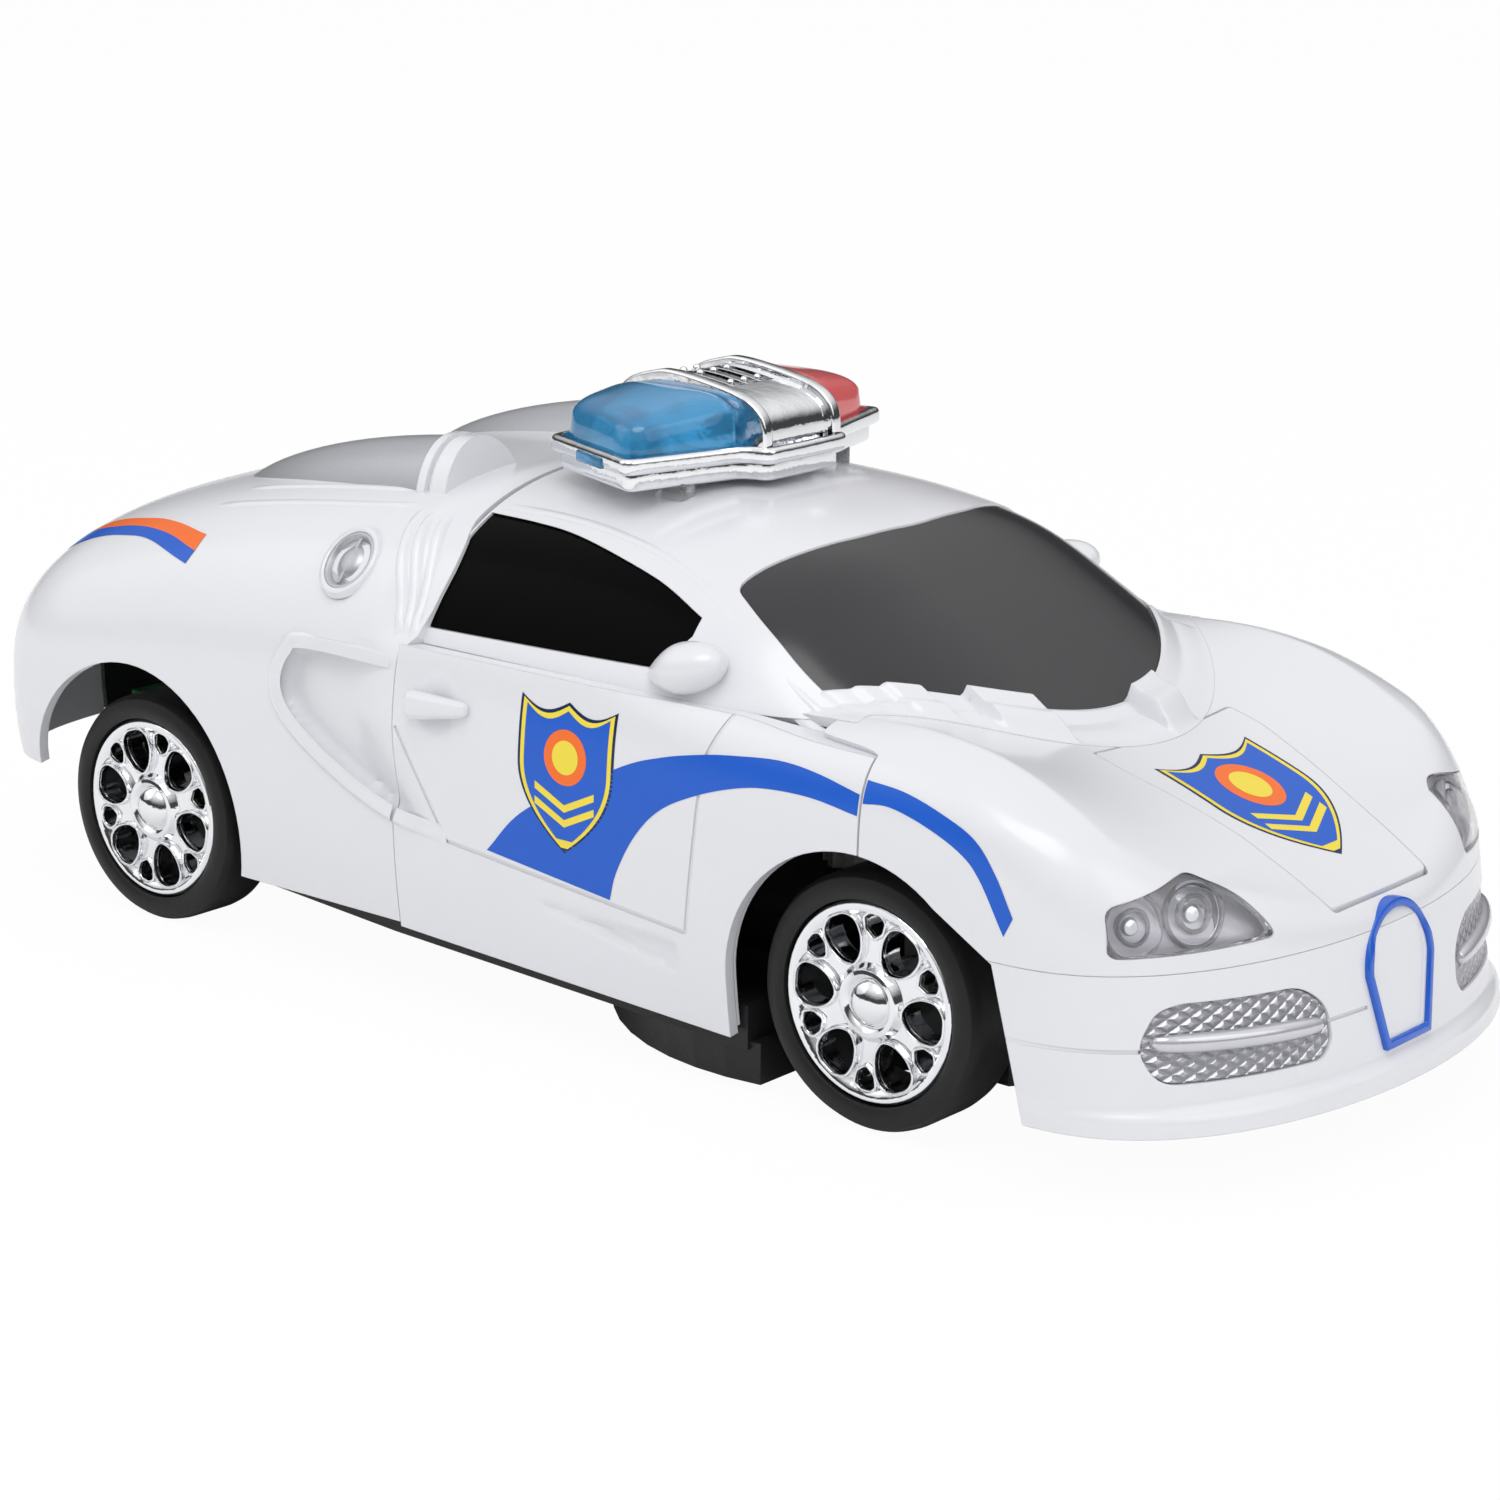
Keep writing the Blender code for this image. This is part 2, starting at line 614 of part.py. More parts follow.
class Toy:
    """The scene that the pieces are built into: collections, finishes and joint empties."""

    def __init__(self):
        for old in list(bpy.data.objects):
            bpy.data.objects.remove(old)
        self.parts = self.collection("transforming_robot_car")
        self.cutters = self.collection("cutters")
        self.cutters.hide_render = True
        self.materials = {name: self.material(name, *look) for name, look in FINISHES.items()}
        self.empties = {}
        self.joint("toy", (-CENTRE_X, 0, 0), None)

    def collection(self, name):
        made = bpy.data.collections.new(name)
        bpy.context.scene.collection.children.link(made)
        return made

    def material(self, name, colour, roughness, metallic):
        made = bpy.data.materials.new(name)
        made.use_nodes = True
        shader = made.node_tree.nodes["Principled BSDF"]
        shader.inputs["Base Color"].default_value = (*colour, 1)
        shader.inputs["Roughness"].default_value = roughness
        shader.inputs["Metallic"].default_value = metallic
        return made

    def joint(self, name, place, parent="toy"):
        """An empty on a joint's axis, at a place measured from the middle of the wheelbase."""
        empty = bpy.data.objects.new("joint_" + name, None)
        self.parts.objects.link(empty)
        place = Vector(place)
        if parent:
            empty.parent = self.empties[parent][0]
            empty.location = (place - self.empties[parent][1]) * MM
        else:
            empty.location = place * MM
            place = Vector()
        self.empties[name] = (empty, place)

    def add(self, name, bm, finish, joint="toy"):
        """A piece of the toy whose mesh is given in the car's own coordinates."""
        made = self.place(name, bm, joint, self.parts)
        made.data.materials.append(self.materials[finish])
        return made

    def place(self, name, bm, joint, collection):
        empty, centre = self.empties[joint]
        bmesh.ops.translate(bm, vec=-centre, verts=bm.verts[:])
        bmesh.ops.scale(bm, vec=(MM, MM, MM), verts=bm.verts[:])
        mesh = bpy.data.meshes.new(name)
        bm.to_mesh(mesh)
        bm.free()
        made = bpy.data.objects.new(name, mesh)
        made.parent = empty
        collection.objects.link(made)
        return made

    def shell(self, name, bm, finish, joint="toy", thickness=WALL, recess=0.0):
        """A piece made from an open surface: its wall lies under it, or a recess further in."""
        made = self.add(name, bm, finish, joint)
        self.thicken(made, thickness, recess)
        return made

    def thicken(self, made, thickness, recess):
        wall = made.modifiers.new("wall", "SOLIDIFY")
        wall.thickness = thickness * MM
        wall.offset = -1 - 2 * recess / thickness
        wall.use_quality_normals = True

    def turned(self, name, profile, steps, finish, joint, at, turn=(0, 0, 0)):
        """A turned piece: its profile is given as (radius, height), as a closed line."""
        area = sum(a[0] * b[1] - a[1] * b[0] for a, b in zip(profile, profile[1:] + profile[:1]))
        ordered = profile if area < 0 else profile[::-1]
        bm = bmesh.new()
        verts = [bm.verts.new((radius * MM, 0, height * MM)) for radius, height in ordered]
        for first, second in zip(verts, verts[1:] + verts[:1]):
            if first.co.x > 0 or second.co.x > 0:
                bm.edges.new((first, second))
        mesh = bpy.data.meshes.new(name)
        bm.to_mesh(mesh)
        bm.free()
        made = bpy.data.objects.new(name, mesh)
        self.parts.objects.link(made)
        made.parent = self.empties[joint][0]
        made.location = (Vector(at) - self.empties[joint][1]) * MM
        made.rotation_euler = turn
        screw = made.modifiers.new("turn", "SCREW")
        screw.steps = screw.render_steps = steps
        screw.use_merge_vertices = True
        screw.merge_threshold = 0.00001
        made.data.materials.append(self.materials[finish])
        return made

    def cutter(self, name, bm):
        made = self.place(name, bm, "toy", self.cutters)
        made.hide_render = True
        made.display_type = "WIRE"
        return made

    def block(self, name, point, along, across, depth):
        """A cutter under a surface: it reaches a fit above it and a depth below."""
        made = self.cutter(name, surface(point, along, across))
        self.thicken(made, depth + FIT, -FIT)
        return made

    def boolean(self, made, cutter, operation="DIFFERENCE"):
        step = made.modifiers.new(operation.lower() + "_" + cutter.name, "BOOLEAN")
        step.operation = operation
        step.solver = "EXACT"
        step.use_self = operation == "UNION"
        step.object = cutter

    def bevel(self, made, width, segments=2, angle=40):
        edge = made.modifiers.new("rounded", "BEVEL")
        edge.width = width * MM
        edge.segments = segments
        edge.limit_method = "ANGLE"
        edge.angle_limit = math.radians(angle)


SIDES = (("right", -1), ("left", 1))


def make_joints(toy):
    toy.joint("lift", (LIFT_X, 0, LIFT_Z))
    for name, side in SIDES:
        toy.joint(name + "_arm", (ARM_PIVOT[0], side * ARM_PIVOT[1], SILL_Z), "lift")
    toy.joint("flap", (FLAP_PIVOT[0], 0, FLAP_PIVOT[1]), "lift")
    toy.joint("lever", (LEVER_PIVOT[0], 0, LEVER_PIVOT[1]))
    toy.joint("rear_wheels", (REAR_AXLE_X, 0, REAR_AXLE_Z))
    toy.joint("front_wheels", (FRONT_AXLE_X, 0, FRONT_AXLE_Z))
    toy.joint("turret", (TURRET_X, 0, TURRET_TOP_Z))
    toy.joint("drive_wheels", (TURRET_X, 0, DRIVE_RADIUS), "turret")
    toy.joint("switch", (*SWITCH_AT, FLOOR_Z))


def arch_outline():
    """Front wheel opening seen from the side, shared by the panel, the hood and the bumper."""
    start, stop, steps = math.pi, math.radians(52), 10
    arc = [
        (
            FRONT_AXLE_X + ARCH_RADIUS * math.cos(mix(start, stop, step / steps)),
            TYRE_RADIUS + ARCH_RADIUS * math.sin(mix(start, stop, step / steps)),
        )
        for step in range(steps + 1)
    ]
    return [(FRONT_AXLE_X - ARCH_RADIUS, ARCH_FRONT[-1][1])] + arc + list(ARCH_FRONT)


def make_shell_cutters(toy):
    reach = BODY_HALF_WIDTH * 1.3
    axle = (REAR_AXLE_X, REAR_AXLE_Z)
    return {
        "front_arch": toy.cutter("front_arch_cut", prism(arch_outline(), "y", -reach, reach)),
        "rear_arch": toy.cutter(
            "rear_arch_cut",
            rod((axle[0], -reach, axle[1]), (axle[0], reach, axle[1]), REAR_ARCH_RADIUS, 28),
        ),
        "rear_block": toy.block("rear_block", rear_point, *REAR_GRID, 8 * WALL),
        "hood_block": toy.block("hood_block", hood_cover, *HOOD_GRID, 3 * WALL),
        "cabin_block": toy.block("cabin_block", cabin_point, *CABIN_GRID, 6 * WALL),
    }


def make_rear(toy, cutters):
    shell = toy.shell("rear_shell", surface(rear_point, *REAR_GRID), "white_shell")
    toy.boolean(shell, cutters["rear_arch"])
    tail = [rear_point(0, step / 20) for step in range(21)]
    outline = inset([(point.y, point.z) for point in tail], 2 * FIT)
    toy.add("tail_panel", prism(outline, "x", tail[0].x + FIT, tail[0].x + FIT + WALL), "black_plastic")
    for name, side in SIDES:
        hump = ball((0, 0, 0), HUMP_RADII)
        place = Matrix.Translation(on_side(side, HUMP_CENTRE)) @ Matrix.Rotation(HUMP_TILT, 4, "Y")
        bmesh.ops.transform(hump, matrix=place, verts=hump.verts[:])
        trim(hump, (HUMP_FACE_X, 0, HUMP_CENTRE[2]), (1, 0, HUMP_FACE_LEAN))
        trim(hump, (0, 0, HUMP_BASE_Z), (0, 0, -1))
        intake = toy.add("air_intake_" + name, hump, "silver_paint")
        toy.boolean(intake, cutters["rear_block"])
        stub = rod(on_side(side, FILLER_FOOT), on_side(side, FILLER_TIP), FILLER_RADIUS, 20)
        cap = toy.add("filler_cap_" + name, stub, "silver_paint")
        toy.boolean(cap, cutters["rear_block"])


def make_cabin(toy, cutters):
    cabin = toy.shell("cabin_shell", surface(cabin_point, *CABIN_GRID), "white_shell", "lift")
    screen = mirrored(WINDSCREEN)
    openings = {"windscreen": (rounded(screen, 3), "z", CUT_TOP)}
    for name, side in SIDES:
        stretch = sorted(side * end for end in CUT_SIDE)
        openings["side_window_" + name] = (rounded(list(SIDE_WINDOW), 2), "y", stretch)
    for name, (outline, axis, stretch) in openings.items():
        toy.boolean(cabin, toy.cutter(name + "_opening", prism(outline, axis, *stretch)))
        skin = surface(cabin_point, *CABIN_GRID)
        pane = toy.shell(name, skin, "dark_glazing", "lift", PANE_THICKNESS, FIT)
        shape = toy.cutter(name + "_outline", prism(inset(outline, FIT), axis, *stretch))
        toy.boolean(pane, shape, "INTERSECT")
    for name, side in SIDES:
        egg = ball(on_side(side, MIRROR_CENTRE), MIRROR_RADII, 12, 8)
        mirror = toy.add("mirror_" + name, egg, "white_shell", "lift")
        toy.boolean(mirror, cutters["cabin_block"])
    half = LIFT_PIN_HALF
    pin = rod((LIFT_X, -half, LIFT_Z), (LIFT_X, half, LIFT_Z), LIFT_PIN_RADIUS, 10)
    toy.add("lift_hinge_pin", pin, "steel")


def cowl_point(u, v):
    """Cowl moulding: u runs over the seam between windscreen and hood, v from right to left."""
    y = mix(-COWL_HALF_WIDTH, COWL_HALF_WIDTH, v)
    edge = hood_rear_x(y)
    x = mix(edge - COWL_REACH[0], edge + COWL_REACH[1], u)
    sweep = WINDSCREEN_SWEEP * (y / COWL_CORNER[1]) ** 2
    roof = smooth_curve(ROOF_LINE, x + sweep)
    screen = mix(WAIST_Z, roof, crown(y, CABIN_HALF_WIDTH, CABIN_POWER))
    return Vector((x, y, max(screen, hood_height(x, y)) + 2 * FIT))


def make_front(toy, cutters):
    hood = toy.shell("hood_shell", surface(hood_point, *HOOD_GRID), "white_shell", "lift")
    toy.boolean(hood, cutters["front_arch"])
    rear, front = FLAP
    flap_outline = rounded(mirrored((rear, front)), 2)
    toy.boolean(hood, toy.cutter("flap_opening", prism(flap_outline, "z", *CUT_TOP)))
    flap = toy.shell("hood_flap", surface(hood_point, *HOOD_GRID), "white_shell", "flap")
    shape = toy.cutter("flap_outline", prism(inset(flap_outline, SEAM), "z", *CUT_TOP))
    toy.boolean(flap, shape, "INTERSECT")
    bumper = toy.shell("front_bumper", surface(bumper_point, *BUMPER_GRID), "white_shell", "lift")
    toy.boolean(bumper, cutters["front_arch"])
    toy.boolean(bumper, cutters["hood_block"])
    for name, side in SIDES:
        lamp = [(side * y, z) for y, z in rounded(list(HEADLAMP), 2)]
        make_lens(toy, "headlamp_" + name, hood, lamp, surface(hood_point, *HOOD_GRID))
        fog = [(side * y, z) for y, z in rounded(list(FOG_LAMP), 3)]
        make_lens(toy, "fog_lamp_" + name, bumper, fog, surface(bumper_point, *BUMPER_GRID))
    toy.add("grille_frame", grille_ring(), "blue_paint", "lift")
    cowl = toy.shell("cowl_moulding", surface(cowl_point, 5, 12), "white_shell", "lift", WALL, -WALL)
    half = COWL_BLOCK_HALF
    blocks = [
        box(*COWL_BLOCK_X, side * COWL_BLOCK_Y - half, side * COWL_BLOCK_Y + half, *COWL_BLOCK_Z)
        for side in (-1, 1)
    ]
    toy.boolean(cowl, toy.cutter("cowl_blocks", joined(*blocks)), "UNION")
    toy.boolean(cowl, cutters["cabin_block"])
    toy.boolean(cowl, cutters["hood_block"])


def make_lens(toy, name, shell, outline, skin):
    """A lamp's opening in a shell, seen from the front, and the lens that fills it."""
    toy.boolean(shell, toy.cutter(name + "_opening", prism(outline, "x", *CUT_NOSE)))
    lens = toy.shell(name, skin, "clear_lens", "lift", PANE_THICKNESS, FIT)
    shape = toy.cutter(name + "_outline", prism(inset(outline, FIT), "x", *CUT_NOSE))
    toy.boolean(lens, shape, "INTERSECT")


def grille_ring():
    """The arch frame on the nose: a ring laid on the bumper's face."""
    half, steps = [], 6
    for step in range(steps + 1):
        angle = math.pi * step / steps / 2
        drop = GRILLE_ARCH * (1 - math.cos(angle))
        half.append((GRILLE_HALF_WIDTH * math.sin(angle), GRILLE_TOP_Z - drop))
    half.append((GRILLE_FOOT, GRILLE_BOTTOM_Z))
    outer = half + [(-y, z) for y, z in reversed(half) if y > 0]
    inner = inset(outer, GRILLE_BAR)
    bm = bmesh.new()
    loops = [[bm.verts.new((0, y, z)) for y, z in line] for line in (outer, inner)]
    edges = [
        bm.edges.new((first, second)) for loop in loops for first, second in zip(loop, loop[1:] + loop[:1])
    ]
    ring = bmesh.ops.bridge_loops(bm, edges=edges)
    drawn = bmesh.ops.extrude_face_region(bm, geom=ring["faces"])
    front = [item for item in drawn["geom"] if isinstance(item, bmesh.types.BMVert)]
    for vert in bm.verts:
        vert.co.x = bumper_x(vert.co.y, vert.co.z) + (GRILLE_PROUD if vert in front else FIT)
    bmesh.ops.recalc_face_normals(bm, faces=bm.faces[:])
    return bm


def make_light_bar(toy):
    plan = mirrored(BAR_PLAN)
    low, high = BAR_TRAY
    floor = high - BAR_POCKET
    tray = toy.add("light_bar_tray", prism(rounded(plan, 3), "z", low, high), "chrome", "lift")
    pocket = prism(inset(rounded(plan, 3), BAR_RIM), "z", floor, high + BAR_POCKET)
    toy.boolean(tray, toy.cutter("light_bar_pocket", pocket))
    feet = [rod((x, y, SILL_Z), (x, y, low + 1), BAR_FOOT_RADIUS, 10) for x, y in BAR_FEET]
    toy.boolean(tray, toy.cutter("light_bar_feet", joined(*feet)), "UNION")
    toy.boolean(tray, toy.block("roof_block", cabin_point, *CABIN_GRID, 20))
    for name, side in SIDES:
        near = BAR_COVER_HALF + FIT
        half = [(BAR_PLAN[1][0], near), *BAR_PLAN[1:3], (BAR_PLAN[3][0], near)]
        outline = rounded(inset(half, BAR_RIM + FIT), BAR_LENS_CORNER, 3)
        shoulder = BAR_LENS_TOP - sum(rise for run, rise in BAR_LENS_ROUND)
        dome = prism([(x, side * y) for x, y in outline], "z", floor + FIT, shoulder)
        lid = max(dome.faces, key=lambda face: face.calc_center_median().z)
        for run, rise in BAR_LENS_ROUND:
            bmesh.ops.inset_region(dome, faces=[lid], thickness=run, depth=rise, use_even_offset=True)
        for vert in dome.verts:
            if vert.co.z > high:
                fall = BAR_LENS_CROWN * (vert.co.x - BAR_MIDDLE_X) ** 2
                vert.co.z -= BAR_LENS_FALL * (abs(vert.co.y) - near) + fall
                vert.co.x = mix(vert.co.x, BAR_MIDDLE_X, BAR_LENS_TAPER)
        colour = "blue_lens" if side < 0 else "red_lens"
        toy.add("light_bar_lens_" + name, dome, colour, "lift")
    make_bar_cover(toy, floor + FIT)


def make_bar_cover(toy, base):
    """The slotted bright cover between the two lenses."""
    top, half = BAR_COVER_TOP, BAR_COVER_HALF
    rear, front = BAR_COVER_X
    spots = ((0.0, 0.0), (0.0, 0.71), (0.14, 1.0), (0.52, 1.0), (0.8, 0.67), (1.0, 0.28), (1.0, 0.0))
    profile = [(mix(rear, front, along), mix(base, top, rise)) for along, rise in spots]
    body = prism(rounded(profile, 2, 3), "y", -half, half)
    cover = toy.add("light_bar_cover", body, "chrome", "lift")
    width, pitch, depth = BAR_SLOT
    middles = [pitch * (slot - (BAR_SLOTS - 1) / 2) for slot in range(BAR_SLOTS)]
    low, high = mix(top, base, depth), mix(top, base, -depth)
    stretch = [mix(rear, front, share) for share in BAR_SLOT_REACH]
    slots = [box(*stretch, y - width / 2, y + width / 2, low, high) for y in middles]
    toy.boolean(cover, toy.cutter("light_bar_slots", joined(*slots)))


def make_arms(toy, cutters):
    for name, side in SIDES:
        joint = name + "_arm"
        skin = surface(panel_point(side), *PANEL_GRID)
        panel = toy.shell("side_panel_" + name, skin, "white_shell", joint)
        toy.boolean(panel, cutters["front_arch"])
        toy.boolean(panel, cutters["hood_block"])
        outer = BODY_HALF_WIDTH - WALL - 1
        stretch = sorted((side * (outer - ARM_THICKNESS), side * outer))
        form = prism(rounded(list(ARM_OUTLINE), 2, 2), "y", *stretch)
        arm = toy.add("robot_arm_" + name, form, "grey_robot", joint)
        toy.bevel(arm, 0.8, 1)


def make_robot(toy):
    """The frame under the cabin, which is the robot's chest, and the head behind the hood flap."""
    top = SILL_Z - CHEST_DROP
    plate = prism(mirrored(CHEST_HALF_PLAN), "z", top - CHEST_THICKNESS, top)
    chest = toy.add("robot_chest", plate, "grey_robot", "lift")
    rear, front, y, half = CHEST_RAIL
    rail_top = SILL_Z - WALL / 2 - FIT
    added = [box(rear, front, side * y - half, side * y + half, top - 1, rail_top) for side in (-1, 1)]
    rear, front, half, depth = CHEST_RIB
    low = top - CHEST_THICKNESS - depth
    added += [box(rear, front, y - half, y + half, low, top - 1) for y in CHEST_RIB_Y]
    toy.boolean(chest, toy.cutter("chest_rails_and_ribs", joined(*added)), "UNION")
    head = toy.add("robot_head", head_form(), "grey_robot", "flap")
    toy.bevel(head, 0.8, 1)


def head_form():
    """A blocky head whose face, with a brow and a visor, lies down under the hood flap."""
    near, far = HEAD_DEPTH
    bm = prism(mirrored(HEAD_HALF_PLAN), "z", -far, -near)
    face = [face for face in bm.faces if face.normal.z < -0.9]
    for thickness, depth in (HEAD_BROW, HEAD_VISOR):
        bmesh.ops.inset_region(bm, faces=face, thickness=thickness, depth=depth)
    place = Matrix.Translation((FLAP_PIVOT[0], 0, FLAP_PIVOT[1])) @ Matrix.Rotation(HEAD_SLOPE, 4, "Y")
    bmesh.ops.transform(bm, matrix=place, verts=bm.verts[:])
    bmesh.ops.recalc_face_normals(bm, faces=bm.faces[:])
    return bm


def tyre_profile():
    half, shoulder = TYRE_WIDTH / 2, TYRE_SHOULDER
    return [
        (RIM_RADIUS + FIT, -half),
        (TYRE_RADIUS - shoulder, -half),
        (TYRE_RADIUS, -half + shoulder),
        (TYRE_RADIUS, half - shoulder),
        (TYRE_RADIUS - shoulder, half),
        (RIM_RADIUS + FIT, half),
    ]


def rim_profile(bore_end):
    """Section of a rim: domed hub, dished spokes, an outer band and a boss with a blind bore."""
    half, bore = TYRE_WIDTH / 2, AXLE_RADIUS + FIT
    dish, back = half - SPOKE_DEPTH, half - SPOKE_DEPTH - SPOKE_THICKNESS
    inside = RIM_RADIUS - RIM_LIP
    return [
        (0, half + HUB_DOME),
        (HUB_RADIUS / 2, half + 0.6 * HUB_DOME),
        (HUB_RADIUS - 0.6, half - HUB_DOME),
        (HUB_RADIUS, dish),
        (inside - 0.8, dish),
        (inside, half - RIM_SINK),
        (RIM_RADIUS, half - RIM_SINK),
        (RIM_RADIUS, RIM_SINK - half),
        (inside, RIM_SINK - half),
        (inside, back),
        (BOSS_RADIUS, back),
        (BOSS_RADIUS, RIM_SINK - half),
        (bore, RIM_SINK - half),
        (bore, bore_end),
        (0, bore_end),
    ]


def rim_window_cutter(toy, name, x, y, z):
    """Large drop-shaped windows with small ones between them, all round the hub."""
    pieces = []
    for index in range(2 * RIM_WINDOWS):
        angle = math.pi * index / RIM_WINDOWS + RIM_WINDOW_TURN
        inner, outer, half = RIM_WINDOW_SMALL if index % 2 else RIM_WINDOW_LARGE
        waist = mix(inner, outer, 0.6)
        outline = [(inner, 0), (waist, half), (outer, half / 2), (outer, -half / 2), (waist, -half)]
        turn = Matrix.Rotation(angle, 2)
        spun = [tuple(turn @ Vector(corner) + Vector((x, z))) for corner in outline]
        pieces.append(prism(spun, "y", y - TYRE_WIDTH, y + TYRE_WIDTH))
    return toy.cutter(name, joined(*pieces))


def make_wheels(toy):
    middle = WHEEL_FACE_Y - TYRE_WIDTH / 2
    bore_end = AXLE_END_Y - middle + 3 * FIT
    for end, x, z in (("rear", REAR_AXLE_X, REAR_AXLE_Z), ("front", FRONT_AXLE_X, FRONT_AXLE_Z)):
        joint = end + "_wheels"
        axle = rod((x, -AXLE_END_Y, z), (x, AXLE_END_Y, z), AXLE_RADIUS, 12)
        toy.add(end + "_axle", axle, "steel", joint)
        for name, side in SIDES:
            at = (x, side * middle, z)
            turn = (-side * math.pi / 2, 0, 0)
            toy.turned(f"{end}_tyre_{name}", tyre_profile(), TYRE_STEPS, "tyre", joint, at, turn)
            profile = rim_profile(bore_end)
            rim = toy.turned(f"{end}_rim_{name}", profile, RIM_STEPS, "chrome", joint, at, turn)
            toy.boolean(rim, rim_window_cutter(toy, f"{end}_rim_windows_{name}", *at))


def make_drive(toy):
    """The swivelling drive unit: a round turret under the floor, with two driven wheels."""
    spigot_top = TURRET_TOP_Z + SPIGOT_HEIGHT
    skirt_top = FLOOR_Z - FIT
    profile = [
        (0, TURRET_BOTTOM_Z),
        (TURRET_FLAT_RADIUS, TURRET_BOTTOM_Z),
        (TURRET_RADIUS - TURRET_EDGE, TURRET_BOTTOM_Z + TURRET_EDGE),
        (TURRET_RADIUS, skirt_top - 1),
        (TURRET_RADIUS, skirt_top),
        (TURRET_DRUM_RADIUS, skirt_top),
        (TURRET_DRUM_RADIUS, TURRET_TOP_Z),
        (SPIGOT_RADIUS, TURRET_TOP_Z),
        (SPIGOT_RADIUS, spigot_top),
        (0, spigot_top),
    ]
    at = (TURRET_X, 0, 0)
    turret = toy.turned("drive_turret", profile, TYRE_STEPS, "black_plastic", "turret", at)
    slot, half = DRIVE_RADIUS + DRIVE_SLOT_GAP, (DRIVE_WIDTH + DRIVE_SLOT_GAP) / 2
    slot_top = 2 * (DRIVE_RADIUS + FIT)
    slots = [
        box(TURRET_X - slot, TURRET_X + slot, y - half, y + half, -TURRET_BOTTOM_Z, slot_top)
        for y in (-DRIVE_Y, DRIVE_Y)
    ]
    toy.boolean(turret, toy.cutter("drive_wheel_slots", joined(*slots)))
    end = DRIVE_Y + DRIVE_WIDTH / 2 + DRIVE_AXLE_OVERHANG
    axle = ((TURRET_X, -end, DRIVE_RADIUS), (TURRET_X, end, DRIVE_RADIUS))
    long_axle = [Vector(point) + Vector((0, sign * FIT, 0)) for point, sign in zip(axle, (-1, 1))]
    toy.boolean(turret, toy.cutter("drive_axle_bore", rod(*long_axle, DRIVE_AXLE_RADIUS + FIT, 16)))
    toy.add("drive_axle", rod(*axle, DRIVE_AXLE_RADIUS, 12), "steel", "drive_wheels")
    half, bore, tread = DRIVE_WIDTH / 2, DRIVE_AXLE_RADIUS + FIT, DRIVE_RADIUS - DRIVE_EDGE
    profile = [(bore, -half), (tread, -half), (DRIVE_RADIUS, DRIVE_EDGE - half)]
    profile += [(DRIVE_RADIUS, half - DRIVE_EDGE), (tread, half), (bore, half)]
    for name, side in SIDES:
        at = (TURRET_X, side * DRIVE_Y, DRIVE_RADIUS)
        turn = (math.pi / 2, 0, 0)
        toy.turned("drive_wheel_" + name, profile, TURN_STEPS, "tyre", "drive_wheels", at, turn)
    make_bridge(toy, TURRET_TOP_Z + FIT)


def make_bridge(toy, low):
    """The bridge over the turret, fixed to the floor, and the gear on the turret's spigot."""
    high, floor = low + BRIDGE_THICKNESS, FLOOR_TOP_Z + FIT
    foot, leg = BRIDGE_FOOT_Y, BRIDGE_FOOT_Y - BRIDGE_LEG
    outline = [(-foot, floor), (-leg, floor), (-leg, low), (leg, low), (leg, floor), (foot, floor)]
    outline += [(foot, high), (-foot, high)]
    form = prism(outline, "x", TURRET_X - BRIDGE_HALF, TURRET_X + BRIDGE_HALF)
    bridge = toy.add("turret_bridge", form, "black_plastic")
    gear_low = high + FIT
    form = prism(gear_outline(GEAR_RADIUS, GEAR_TEETH), "z", gear_low, gear_low + GEAR_THICKNESS)
    gear = toy.add("turret_gear", form, "gear_plastic", "turret")
    bore = rod((TURRET_X, 0, low - 1), (TURRET_X, 0, low + SPIGOT_HEIGHT), SPIGOT_RADIUS + FIT, 20)
    spigot_bore = toy.cutter("spigot_bore", bore)
    toy.boolean(gear, spigot_bore)
    toy.boolean(bridge, spigot_bore)


